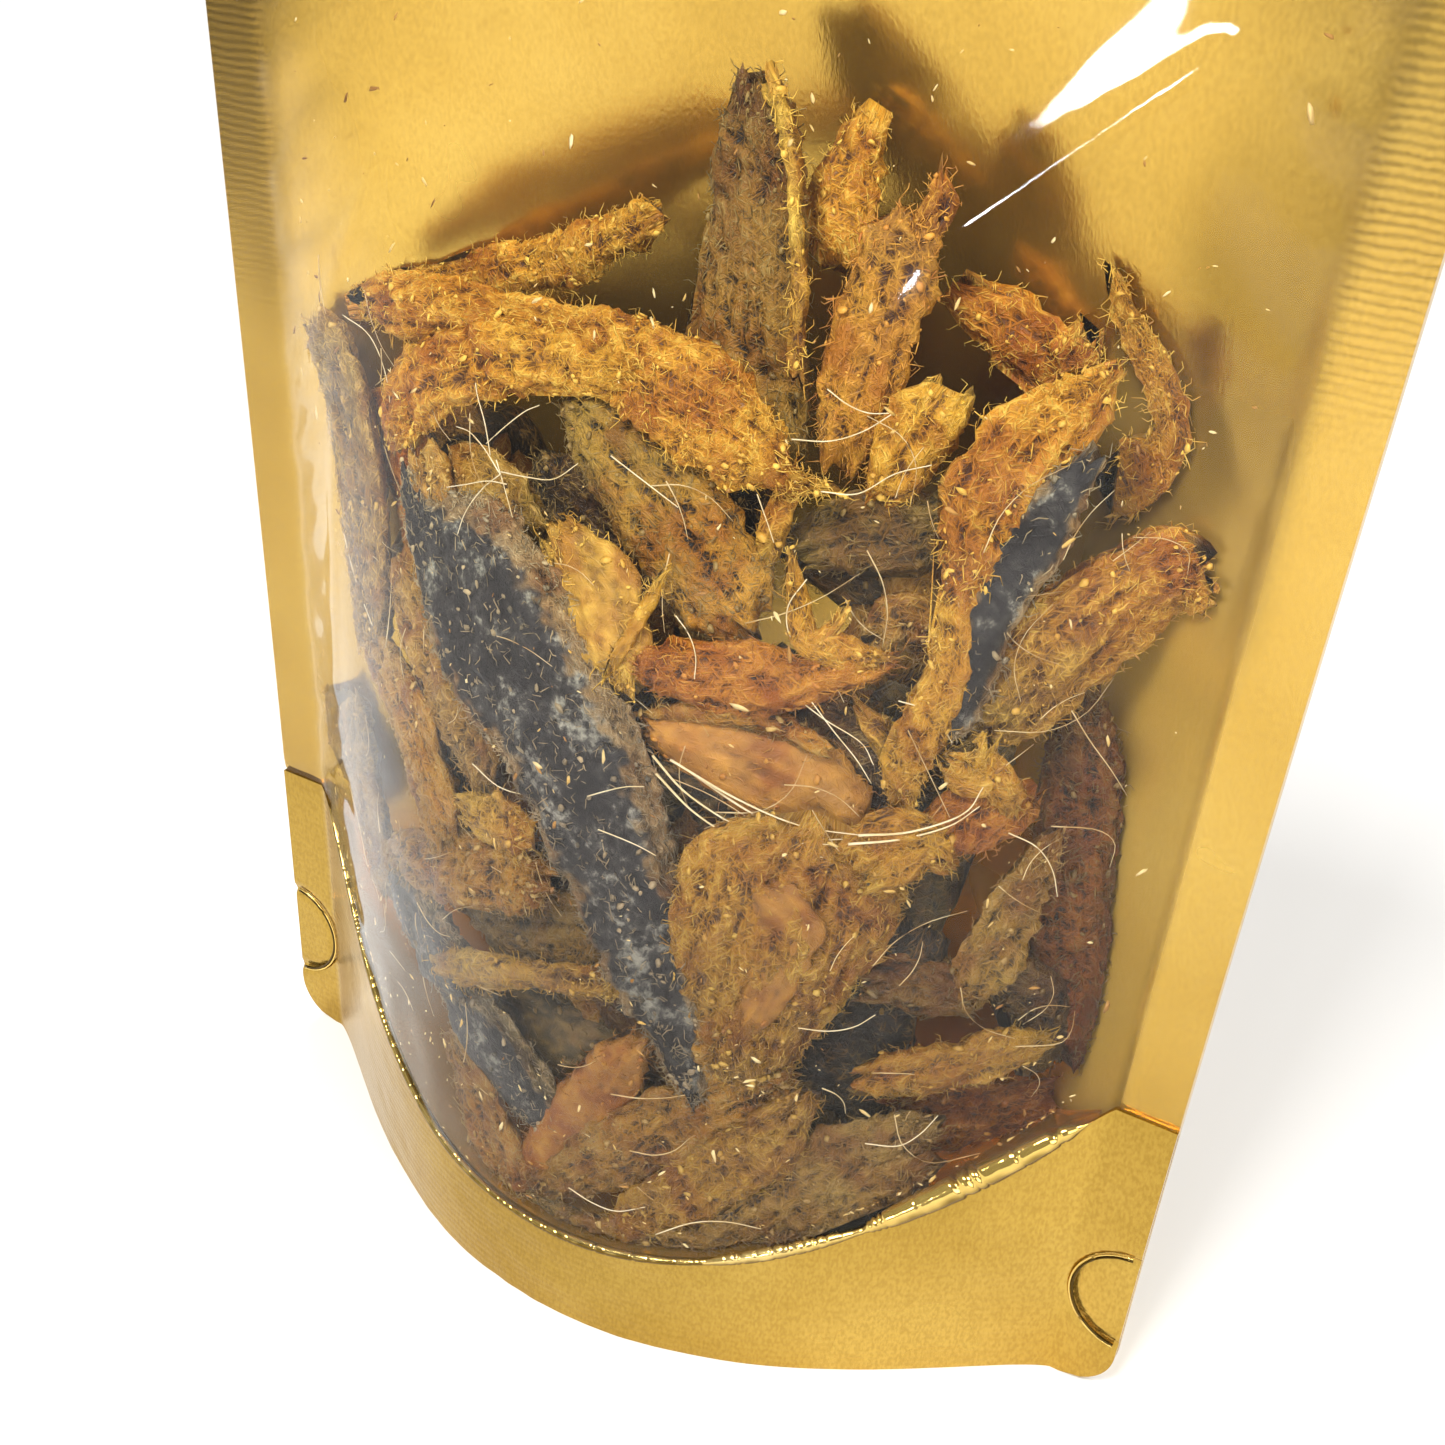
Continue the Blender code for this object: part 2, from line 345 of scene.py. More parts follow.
def paint_shade_low_and_right(tree, place, color):
    """Painted shade: darken a colour for the strips that lie low in the pouch and to its right."""
    apart = node(tree, "ShaderNodeSeparateXYZ", Vector=place)
    level = node(tree, "ShaderNodeMath", {"operation": "MULTIPLY_ADD"},
                 i0=apart.outputs["X"], i1=-0.25, i2=apart.outputs["Z"])
    height = node(tree, "ShaderNodeMapRange", i0=level.outputs[0], i1=15 * MM, i2=115 * MM,
                  i3=0.0, i4=1.0)
    shade = ramp(tree, height.outputs[0], ((0.05, "#B9B4A2"), (0.38, "#C3BDAA"),
                                           (0.58, "#DAD3BE"), (0.76, "#F4EFD2"), (1.0, "#FFFFDE")))
    return node(tree, "ShaderNodeMix", {"data_type": "RGBA", "blend_type": "MULTIPLY"},
                i0=1.0, i6=color, i7=shade).outputs[2]


def dry_fish(name, crack_and_shade, tip, frost):
    """Smoked and dried fish: matted short fibres, with painted shade between them and pale tops that
    are partly their own colour and partly a painted highlight.

    The mesh gives the flesh's own colour in "tone", hollows and crests in "relief", and smooth
    skin or gristle in "bare", where the fibres fade. frost is the bloom on skin, or None.
    """
    material = new_material(name)
    tree = material.node_tree
    place = node(tree, "ShaderNodeTexCoord").outputs["Object"]
    grain = node(tree, "ShaderNodeUVMap", {"uv_map": "grain"}).outputs[0]
    tone = node(tree, "ShaderNodeAttribute", {"attribute_name": "tone"}).outputs["Color"]
    relief = node(tree, "ShaderNodeAttribute", {"attribute_name": "relief"}).outputs["Fac"]
    bare = node(tree, "ShaderNodeAttribute", {"attribute_name": "bare"}).outputs["Fac"]

    # Three layers of crossing fibres (turn, length and width in mm). Real ones are some 0.05 mm
    # thick, too fine to show, so they are drawn about 0.3 mm wide.
    felt = None
    for turn, long, wide in ((0.1, 1.9, 0.30), (1.05, 1.3, 0.26), (-0.85, 1.4, 0.28)):
        turned = node(tree, "ShaderNodeMapping", {"vector_type": "TEXTURE"}, Vector=grain,
                      Rotation=(0, 0, turn), Scale=(long, wide, 1.0))
        fibres = node(tree, "ShaderNodeTexNoise",
                      Vector=turned.outputs[0], Scale=1.0, Detail=2.0, Roughness=0.55).outputs[0]
        felt = fibres if felt is None else node(
            tree, "ShaderNodeMath", {"operation": "MAXIMUM"}, i0=felt, i1=fibres).outputs[0]
    felt = node(tree, "ShaderNodeMapRange", i0=felt, i1=0.48, i2=0.72, i3=0.0, i4=1.0).outputs[0]
    even = node(tree, "ShaderNodeMix", {"data_type": "FLOAT"}, i0=bare, i2=felt, i3=0.62).outputs[0]
    level = node(tree, "ShaderNodeMix", {"data_type": "FLOAT"}, i0=0.5, i2=even, i3=relief).outputs[0]

    # Painted shade: the crack colour in the hollows; the tip colour on the crests is partly painted
    # highlight
    hollow = node(tree, "ShaderNodeMapRange", {"interpolation_type": "SMOOTHSTEP"},
                  i0=level, i1=0.06, i2=0.52, i3=0.0, i4=1.0).outputs[0]
    crest = node(tree, "ShaderNodeMapRange", {"interpolation_type": "SMOOTHSTEP"},
                 i0=level, i1=0.47, i2=0.86, i3=0.0, i4=0.85).outputs[0]
    flesh = node(tree, "ShaderNodeMix", {"data_type": "RGBA"}, i0=hollow,
                 i6=linear(crack_and_shade), i7=tone).outputs[2]
    flesh = node(tree, "ShaderNodeMix", {"data_type": "RGBA"}, i0=crest,
                 i6=flesh, i7=linear(tip)).outputs[2]
    # Oily brown stains, 6 mm wide
    cloud = node(tree, "ShaderNodeTexNoise",
                 Vector=place, Scale=1 / (6 * MM), Detail=3.0, Roughness=0.6).outputs[0]
    stain = ramp(tree, cloud, ((0.38, "#C2976A"), (0.5, "#F4E8D6"), (0.62, "#FFFFFF")))
    flesh = node(tree, "ShaderNodeMix", {"data_type": "RGBA", "blend_type": "MULTIPLY"},
                 i0=0.8, i6=flesh, i7=stain).outputs[2]
    if frost:
        # The pale bloom of fat and salt on dark skin, in specks of 1 mm
        speck = node(tree, "ShaderNodeTexNoise",
                     Vector=place, Scale=1 / (1.0 * MM), Detail=4.0, Roughness=0.7).outputs[0]
        bloom = node(tree, "ShaderNodeMix", {"data_type": "FLOAT"}, i0=0.55,
                     i2=speck, i3=cloud).outputs[0]
        skin = ramp(tree, bloom, ((0.38, frost[0]), (0.47, frost[1]), (0.54, frost[2]),
                                  (0.64, frost[3])))
        flesh = node(tree, "ShaderNodeMix", {"data_type": "RGBA"}, i0=bare,
                     i6=flesh, i7=skin).outputs[2]
    # Painted shade, growing towards the bottom of the pouch and its right side
    flesh = paint_shade_low_and_right(tree, place, flesh)
    strength = node(tree, "ShaderNodeMapRange", i0=bare, i1=0.0, i2=1.0, i3=0.9, i4=0.4)
    bump = node(tree, "ShaderNodeBump", Strength=strength.outputs[0], Distance=0.3 * MM,
                Height=felt)
    shader = node(tree, "ShaderNodeBsdfPrincipled", Base_Color=flesh, Roughness=0.5,
                  Specular_IOR_Level=0.4, Normal=bump.outputs[0])
    node(tree, "ShaderNodeOutputMaterial", Surface=shader.outputs[0])
    return material


def thread_material(name, dark, light, roughness, of_fish=False):
    """Thin bones, dry fibres and crumbs: horn-like, a little glossy."""
    material = new_material(name)
    tree = material.node_tree
    place = node(tree, "ShaderNodeTexCoord").outputs["Object"]
    tint = node(tree, "ShaderNodeTexNoise",
                Vector=place, Scale=1 / (4 * MM), Detail=3.0)
    color = ramp(tree, tint.outputs[0], ((0.35, dark), (0.65, light)))
    if of_fish:
        # The fish's fibres and flakes get the same painted shade, low and to the right
        color = paint_shade_low_and_right(tree, place, color)
    shader = node(tree, "ShaderNodeBsdfPrincipled", Base_Color=color, Roughness=roughness)
    node(tree, "ShaderNodeOutputMaterial", Surface=shader.outputs[0])
    return material


# Groups of fish that share a finish: colour in the cracks (painted shade), of the fibres' tops (partly
# their own, partly painted highlight), and skin's bloom
FINISHES = {
    "golden": ("#4E2A06", "#F6CE68", None),
    "tan": ("#34200A", "#DDBA74", None),
    "rust": ("#3A1806", "#E4AA4C", None),
    # The dark finish's colours are kept low partly as painted shade of the cavities between strips
    "dark": ("#0E0905", "#A08654", None),
    "skin_on": ("#38291F", "#CFBBA0", ("#0E0C10", "#1F1B20", "#3D3B40", "#B0B1B4")),
}

# The darker colour of the loose fibres and of the flakes on each group
FIBRE_SHADES = {"golden": "#CF9A3C", "tan": "#B89058", "rust": "#C07A38", "dark": "#725C38",
                "skin_on": "#8C8070"}
FLAKE_SHADES = {"golden": "#D2A044", "tan": "#B8935A", "rust": "#B8712E", "dark": "#7C6238",
                "skin_on": "#5C564E"}

# Kinds of strip: its finish and its flesh colour
KINDS = {
    "gold": ("golden", "#DCA23A"),
    "yellow": ("golden", "#E6B548"),
    "orange": ("golden", "#D6922E"),
    "straw": ("golden", "#D6B25C"),
    "ochre": ("golden", "#C4962E"),
    "cream": ("tan", "#CDB07A"),
    "tan": ("tan", "#BC9044"),
    "haze": ("tan", "#A08258"),
    "rust": ("rust", "#BC7222"),
    "pink": ("rust", "#B07C40"),
    "smooth": ("rust", "#C08C4C"),
    "brown": ("dark", "#7A5226"),
    "olive": ("dark", "#A08646"),
    "grey": ("dark", "#6C5C36"),
    # Near-black flesh for strips deep in the gaps: partly its own colour, partly painted shade of the
    # cavities
    "char_and_shade": ("dark", "#2C241B"),
    "navy": ("skin_on", "#A68C78"),
    "silver": ("skin_on", "#7C705C"),
}

# Strips that show, laid on the clear front: kind at its start and end, thickness, depth behind
# the film at its start and end (mm), bare side (0 none, 1 skin, 2 all smooth), and the middle
# of its width and that width at each station: (x, z, width)
STRIPS = (
    ("brown", "tan", 3.9, 7, 11, 0, ((4.6, 142.5, 5), (5.7, 137.9, 8.9), (6.8, 131.8, 10.5),
        (7.5, 124.6, 12), (8.7, 117.1, 12.8), (13.3, 109.7, 7.3))),
    ("straw", "tan", 2, 6.5, 7, 0, ((6.6, 142.8, 2), (10.3, 137.2, 1.6), (13.4, 127.9, 1.4),
        (15.9, 117.2, 1.6))),
    ("rust", "brown", 2, 8, 8, 0, ((25.2, 136.3, 1.1), (25.5, 134, 3.2), (24.2, 130.4, 3.7))),
    ("pink", "gold", 3.9, 7, 8, 0, ((23.8, 133, 5), (23.2, 128.5, 7.9), (22.4, 122.5, 8.8),
        (21.8, 115.8, 8.1), (21.3, 109.7, 5))),
    ("yellow", "gold", 3.1, 4, 6, 0, ((31.2, 117.4, 4.2), (29.8, 114.2, 7.1), (27.6, 109.3, 6.1),
        (26.6, 106.9, 2.2))),
    ("orange", "gold", 3.5, 2, 2.5, 0, ((44.5, 121.4, 1.5), (42.4, 117.7, 6.3), (39, 113.7, 9.2),
        (36.7, 107.7, 9), (36.5, 101.8, 6.5))),
    ("gold", "yellow", 2.7, 2.2, 3, 0, ((35.9, 104.9, 6.7), (35.5, 98.9, 4.4), (35.7, 92.7, 3.8),
        (34.7, 86.2, 5.3), (34, 81.1, 4.9), (34.1, 76.4, 2.1))),
    ("navy", "navy", 2.3, 1.6, 3.5, 1, ((44.2, 113.4, 2.4), (42.2, 109, 5.4), (40.1, 102.4, 5.5),
        (38.6, 95, 5.9), (37.1, 88.4, 5.8), (35.8, 83.6, 2.4))),
    ("orange", "olive", 4.7, 4.5, 5, 0, ((56.7, 102.5, 7.2), (53, 101.4, 9.3), (48.8, 97.5, 11.8),
        (45.1, 91.9, 12.4), (41.6, 86.8, 10.8), (39.1, 82.9, 3.8))),
    ("orange", "gold", 3.9, 2.4, 2.2, 0, ((-44.2, 111.6, 3.6), (-35.2, 113.7, 7.1),
        (-24.1, 115.9, 6.3), (-13.3, 116.7, 5.8), (-5.1, 116.7, 7.5), (1.3, 115.7, 10.1),
        (8.2, 113.1, 11), (13.8, 110.5, 7.9), (18.1, 108.5, 2.7), (21.7, 107.9, 0.9))),
    ("orange", "gold", 3.1, 1.4, 1.6, 0, ((-33, 99.1, 5), (-32.7, 103.8, 8.3), (-26.9, 108.6, 8.2),
        (-18.6, 112.2, 7.7), (-10.8, 113.9, 6.3), (-3.8, 114.8, 5.1), (1.7, 115.7, 2.8))),
    ("olive", "gold", 3.1, 3.6, 4, 0, ((-8.1, 111.2, 4.8), (-3.2, 109, 9.7), (2.9, 104.8, 12),
        (8.2, 100.6, 12.2), (12.9, 96.4, 11.1), (16.5, 93.1, 6.1))),
    ("navy", "navy", 3.1, 1.4, 1.8, 1, ((-30.2, 97.4, 2.7), (-26.4, 93.2, 9), (-19, 89.8, 19.2),
        (-11, 85.4, 20.6), (-3.5, 79.6, 18), (2.1, 72.8, 15.9), (6.7, 64.6, 13.7), (10.8, 55.7, 10.5),
        (14.4, 46, 7), (17, 36.9, 1.7))),
    ("tan", "tan", 2.7, 1.4, 2.5, 0, ((-28, 100.1, 4.9), (-26.1, 96.6, 6.4), (-23.3, 93.1, 4.1))),
    ("straw", "tan", 1.2, 2.4, 2.6, 2, ((-6.2, 97.9, 5.9), (-1.7, 94.6, 11.1), (1.8, 90.3, 10.1),
        (4.6, 84.7, 5.5))),
    ("ochre", "ochre", 1, 1.8, 1.8, 2, ((7.6, 97.4, 0.7), (6.2, 93.4, 1.6), (4.2, 89, 1.6),
        (2.6, 85.5, 0.6))),
    ("char_and_shade", "brown", 3.1, 7, 8, 0, ((-14.4, 103.1, 5.5), (-8.3, 99.1, 9.1), (-1, 93.9, 8.8),
        (5.3, 88.7, 7.7))),
    ("tan", "olive", 2.3, 4, 6, 0, ((-26.1, 98.7, 7.2), (-19.7, 97.5, 8.9), (-13.8, 94.4, 7.3))),
    ("char_and_shade", "char_and_shade", 3.1, 8, 8, 0, ((5.6, 109.8, 7.5), (11, 104.6, 7.6), (16.9, 99.3, 6))),
    ("rust", "orange", 3.1, 2.2, 2, 0, ((4.6, 87.1, 1.9), (9, 87.9, 5.8), (15.1, 88.2, 8),
        (21.2, 88.8, 6.7), (26.3, 90.4, 4.7), (30.4, 92.3, 1.2))),
    ("gold", "gold", 1.6, 2.6, 1.6, 0, ((19.9, 101.4, 0.9), (21.1, 97.3, 1.8), (22.6, 93.6, 3),
        (25.8, 92.8, 4), (28.5, 92.9, 2.6), (30.4, 92.8, 0.7))),
    ("gold", "gold", 1.2, 2.2, 1.8, 0, ((22.8, 92.8, 1.3), (24.9, 95.2, 1.6), (25.5, 97, 0.5))),
    ("gold", "tan", 1.6, 4, 5, 0, ((18.3, 109.1, 1.6), (17.6, 104.2, 2.9), (16.8, 100.1, 1.6))),
    ("smooth", "smooth", 3.1, 4.5, 5, 2, ((6.5, 80.8, 3), (11.8, 79.7, 7.7), (18.2, 78.2, 11.8),
        (24.3, 75.6, 12.5), (29.3, 72.6, 8.6), (31.7, 71, 2.6))),
    ("tan", "gold", 1.6, 4.2, 4.4, 0, ((7.1, 81.9, 1.2), (12.8, 83.4, 2.5), (20.2, 83.8, 2.5),
        (26.6, 81.4, 2))),
    ("char_and_shade", "char_and_shade", 1.2, 5, 5, 1, ((9.1, 76.1, 1.9), (16.2, 74.1, 3), (23.8, 72.3, 3.5),
        (29.9, 71.6, 1.9))),
    ("gold", "tan", 4.3, 2, 3, 0, ((26.8, 73.5, 10.6), (25.5, 68.3, 22.7), (24.4, 61.6, 23.7),
        (23.2, 54.7, 20.9), (22.5, 47.9, 15), (22, 42.1, 11.5), (21.9, 39.1, 3.9))),
    ("tan", "gold", 2.3, 2.2, 3, 0, ((18.2, 56.2, 4.9), (17, 47.7, 5.5), (16.2, 40.3, 5.2),
        (16.2, 35.2, 1.6))),
    ("smooth", "smooth", 1.1, 1.8, 2, 2, ((21, 67.3, 4), (25.3, 62.5, 6.6), (24, 54.7, 5.4),
        (21.7, 48.2, 3.1))),
    ("gold", "yellow", 2.3, 2, 2.4, 0, ((30, 70.4, 3.9), (33.2, 73.2, 6.9), (36.7, 72.5, 5.8),
        (38.9, 70.6, 2))),
    ("yellow", "gold", 1.6, 1.6, 2, 0, ((31.9, 68.2, 2.7), (35, 70.3, 4), (37.5, 72.4, 1.9))),
    ("rust", "orange", 2.7, 2.6, 4, 0, ((36.7, 72.6, 4.6), (40, 74.9, 7.9), (43.3, 76.6, 6.5),
        (45.3, 78.2, 1.9))),
    ("gold", "yellow", 2, 2.4, 3, 0, ((37.3, 82.1, 2), (39.6, 81, 5.2), (40.7, 84.2, 2.2))),
    ("gold", "gold", 2, 2.6, 3, 0, ((41.1, 82.7, 1.8), (42.8, 79, 3.9), (43.9, 75.5, 1.8))),
    ("olive", "grey", 3.9, 7, 7, 0, ((19.8, 101.1, 4.6), (24.2, 103.2, 7.5), (29.6, 103.9, 8.2),
        (34.6, 105.3, 5.7), (36.7, 106.2, 2.3))),
    ("grey", "char_and_shade", 3.9, 11, 11, 0, ((20.3, 99, 4.8), (27.1, 97.4, 7.9), (33.4, 97.2, 7.3),
        (36.5, 99, 3.6))),
    ("tan", "pink", 2.7, 8, 9, 0, ((28.5, 92.2, 3.6), (31.5, 94.5, 5.3), (36, 91.3, 5.1),
        (38.5, 85.7, 2.3))),
    ("tan", "straw", 2.7, 4, 5, 0, ((48.2, 72.8, 1.6), (46.9, 67.2, 5.4), (45.6, 61.3, 6.4),
        (44.2, 54.6, 7), (43.6, 50.4, 2.8))),
    ("brown", "tan", 2.7, 4.5, 5, 0, ((33.6, 53.3, 4), (36.8, 53.9, 7.4), (40.7, 52.5, 7.8),
        (43.8, 50.4, 2.4))),
    ("gold", "yellow", 2.7, 2.4, 3, 0, ((33.9, 41.7, 4), (38.1, 42.9, 6.3), (43.1, 44.2, 6.7),
        (48, 45.7, 6.1), (50.8, 47.2, 2))),
    ("rust", "rust", 2.3, 7, 7, 0, ((37.2, 32, 7.1), (45, 32.7, 10.8), (53.2, 34.8, 7.2))),
    ("tan", "gold", 3.1, 2.6, 3, 0, ((-5.7, 12.4, 3.8), (2.3, 20.5, 8), (10.5, 28, 9.7),
        (17.6, 34.2, 10.2), (24, 38.6, 7.9), (27.4, 41, 2.2))),
    ("gold", "tan", 2.7, 1.8, 2.4, 0, ((7.5, 13.4, 2.5), (12.6, 18.4, 7.1), (18.9, 25.1, 8.7),
        (24.6, 31.2, 8.7), (28.8, 39, 3.5))),
    ("tan", "cream", 2.7, 2.6, 2.6, 0, ((17.5, 14.5, 3.3), (22.6, 18.8, 8.4), (28.2, 24, 10.2),
        (34, 29, 11.3), (39, 33.3, 8.3), (41.7, 35.3, 2.4))),
    ("cream", "tan", 2.3, 1.8, 2, 0, ((25.6, 16.6, 2.8), (30.6, 19.7, 7.1), (36.3, 24.9, 8.4),
        (41.5, 30.7, 3.5))),
    ("cream", "tan", 2.3, 2, 2, 0, ((-6.4, 8.7, 2.6), (3.3, 11.8, 5.2), (12.8, 14.5, 5.3),
        (22.3, 15.8, 2.6))),
    ("haze", "haze", 3.9, 1.5, 1.5, 0, ((-55.4, 105.7, 5), (-50.2, 100.5, 12.3), (-45.8, 92.5, 15.9),
        (-42.9, 83.9, 16), (-41.9, 75.4, 12.5), (-40.7, 70.7, 6.3))),
    ("tan", "gold", 3.1, 2, 2, 0, ((-42.5, 71.1, 4.6), (-34.4, 68.9, 11.5), (-27.7, 65.4, 14.1),
        (-23.7, 60.4, 13.2), (-21.3, 55.5, 6))),
    ("haze", "tan", 3.1, 3, 3, 0, ((-55.9, 55.6, 7), (-53.6, 46.3, 10.3), (-48.5, 39, 10.3),
        (-42.8, 33.8, 5.5))),
    ("tan", "haze", 2.7, 2.6, 3, 0, ((-34.1, 85.4, 5.1), (-28.4, 80.7, 9.4), (-22.8, 75.9, 10),
        (-17.2, 71.1, 7.7), (-15.1, 65.8, 3.9))),
    ("tan", "gold", 2.7, 2, 2, 0, ((-36.8, 44.6, 3.5), (-24.8, 51, 8.2), (-13.6, 56.2, 9.4),
        (-5.6, 58.9, 6.9), (-2.9, 59.5, 2.5))),
    ("straw", "gold", 2.3, 1.6, 1.8, 0, ((-16.9, 63.4, 3.8), (-10.2, 64.4, 7.1), (-5, 65.1, 3.5))),
    ("silver", "silver", 2.7, 2.2, 2.2, 1, ((-37, 41.4, 3.5), (-29.7, 41.2, 10.3), (-23.2, 39.7, 11.7),
        (-16.4, 38.6, 6.2))),
    ("silver", "silver", 2.7, 2.4, 2.6, 1, ((-22.3, 35.7, 5.5), (-16, 33.7, 10.8), (-9.4, 30.7, 11.5),
        (-4.2, 27.4, 9), (-2.2, 24.7, 2.9))),
    ("straw", "tan", 1.7, 1.6, 1.8, 0, ((-23.8, 37.6, 2.5), (-14.8, 42.5, 4.9), (-2.9, 47.6, 4),
        (5.3, 49.9, 3.2), (8, 50.3, 1.3))),
    ("tan", "orange", 2.7, 2, 2, 0, ((-20.4, 29.2, 3.8), (-16, 25.2, 8.5), (-12.3, 19.7, 10.2),
        (-9.3, 14.7, 8.5), (-8.1, 10.8, 2.6))),
    ("smooth", "rust", 3.1, 2.6, 3, 2, ((10.6, 43.4, 3.6), (6.4, 36.4, 7.6), (1.3, 27.4, 8.4),
        (-3.4, 19, 6.3), (-7.2, 13.2, 2.1))),
    ("grey", "tan", 3.1, 5, 5, 0, ((-21, 49.9, 8.2), (-10.5, 50.5, 11.9), (-0.3, 52.1, 9.6),
        (5.6, 52.1, 4))),
    ("char_and_shade", "grey", 3.1, 6, 6, 1, ((-16, 34.7, 10.5), (-4.1, 36.3, 13.4), (5.7, 37.2, 9.1))),
    ("olive", "brown", 1.9, 3, 4, 0, ((10.3, 66.5, 2), (11.9, 63, 4.2), (13.2, 58.1, 4.5),
        (15, 54.9, 1.7))),
    ("grey", "char_and_shade", 3.1, 7, 8, 0, ((30, 54.2, 8.1), (34.9, 45.8, 8.5), (33.7, 36.6, 6.1))),
    ("brown", "grey", 3.1, 6, 7, 0, ((46.1, 55.4, 5.2), (50.1, 49.5, 7.6), (51.7, 40.4, 5.3))),
    ("grey", "brown", 3.1, 8, 8, 0, ((30.7, 85.7, 4.9), (34.8, 81.9, 8.3), (37.7, 75.6, 6))),
    ("gold", "olive", 1.7, 5, 5, 0, ((28.5, 86.4, 1.4), (31.1, 83.4, 2.6), (33.1, 80.1, 1.2))),
    ("brown", "rust", 3.9, 8, 8, 0, ((48.9, 87.3, 4.6), (50.9, 78, 8.4), (52.2, 66.8, 10.1),
        (53.5, 53.5, 9.2), (54.5, 40.7, 5.4))),
    ("orange", "gold", 2.3, 16, 14, 0, ((44.2, 129.1, 1.4), (47.3, 124.6, 3.1), (51.9, 118.8, 3.8),
        (53.9, 114, 4.5), (51.4, 108.9, 7.2), (48.3, 106.9, 4.8))),
    ("gold", "orange", 3.1, 16, 16, 0, ((-10.5, 129.5, 3.8), (-21, 123.8, 5.7), (-38.4, 116.1, 5.8),
        (-57.3, 107.5, 4.1))),
    ("gold", "orange", 3.1, 14, 12, 0, ((14.5, 141.2, 3.5), (14.2, 135.7, 7), (16.7, 128.5, 6.9))),
    ("orange", "rust", 3.1, 15, 14, 0, ((28.5, 126.4, 4.3), (35.7, 122.7, 7.1), (40.7, 118.9, 6.6),
        (42.4, 122.9, 3.3))),
    ("tan", "brown", 3.1, 9, 9, 0, ((-0.2, 96.1, 4.1), (7.5, 92.2, 6.5), (14.3, 90.1, 5.1))),
    ("brown", "tan", 3.1, 8, 9, 0, ((10.6, 85.3, 2.6), (18, 84.2, 6.4), (28.1, 82.9, 7.7),
        (32.7, 85.4, 3.8))),
    ("brown", "char_and_shade", 3.0, 6.5, 6.5, 0, (
        (23.4, 84.5, 6.0), (27.0, 82.0, 9.0), (31.5, 78.5, 10.0), (36.5, 74.5, 7.0))),
)

# Strips behind those, for what shows between them: how many, and how deep they lie (mm)
BEHIND = 96
BEHIND_DEPTH = (7.5, 21.0)
BEHIND_KINDS = ("brown", "char_and_shade", "olive", "char_and_shade", "rust", "tan", "grey", "brown", "char_and_shade", "navy")
# How many of them are packed low in the pouch
BEHIND_LOW = 34

# Strip mesh spacing, along and around (mm)
SPACING = (0.5, 0.42)
SPACING_BEHIND = (1.25, 1.15)

# The share of a strip's girth, in its mesh, that is its front face
FRONT_SHARE = 0.64


def on_film(x, z, depth):
    """A place at this depth behind the clear front, all in metres."""
    return Vector((x, -FACE - bulge(x, z, FRONT_CLOSES), z)) - outward(x, z) * depth


def along_way(points, t):
    """A place on a smooth curve through points, t from 0 to 1."""
    spans = len(points) - 1
    i = min(int(t * spans), spans - 1)
    u = t * spans - i
    p1, p2 = points[i], points[i + 1]
    p0 = points[i - 1] if i else p1 * 2 - p2
    p3 = points[i + 2] if i + 2 <= spans else p2 * 2 - p1
    return 0.5 * (2 * p1 + (p2 - p0) * u + (2 * p0 - 5 * p1 + 4 * p2 - p3) * u * u
                  + (3 * p1 - p0 - 3 * p2 + p3) * u ** 3)


def keep_inside(place):
    """The nearest place that is inside the pouch, clear of its film and its gusset floor."""
    z = min(max(place.z, FLOOR_HEIGHT), POUCH_HEIGHT - TOP_SEAL - 2 * MM)
    reach = chamber_half_width(z) - 1.2 * MM
    x = min(max(place.x, -reach), reach)
    z = max(z, seal_line(x / chamber_half_width(z)) + 0.6 * MM)
    front = film_front(x, z) + 0.3 * MM
    back = bulge(x, z, BACK_CLOSES) - 0.8 * MM
    return Vector((x, max(min(place.y, back), front), z))


def flesh_tone(kind, end_kind, share):
    """A linear colour between two kinds of flesh, tinted a little by smoking."""
    first, last = linear(KINDS[kind][1]), linear(KINDS[end_kind][1])
    smoke = (*bpy.context.scene.pouch_fish.smoke, 1.0)
    return [shade * (a + (b - a) * share) for a, b, shade in zip(first, last, smoke)]


def around_strip(turned):
    """Across a strip (-1 to 1) and its face (1 front, -1 back), at a share of the way round it."""
    if turned < FRONT_SHARE:
        c, n = 1 - 2 * turned / FRONT_SHARE, 1.0
    else:
        c, n = 2 * (turned - FRONT_SHARE) / (1 - FRONT_SHARE) - 1, -1.0
    return min(max(0.45 * c + 0.55 * math.sin(math.pi / 2 * c), -1.0), 1.0), n


def strip_station(points, widths, t, turn):
    """A strip's middle at t, the way of its fibres, its breadth, its face's way and its width."""
    here = along_way(points, min(max(t, 0.0), 1.0))
    way = (along_way(points, min(t + 0.02, 1.0)) - along_way(points, max(t - 0.02, 0.0))).normalized()
    facing = outward(here.x, here.z)
    broad = Matrix.Rotation(turn, 3, way) @ way.cross(facing).normalized()
    width = max(along_way([Vector((w, 0, 0)) for w in widths], t).x, 0.5)
    return here, way, broad, broad.cross(way).normalized(), width


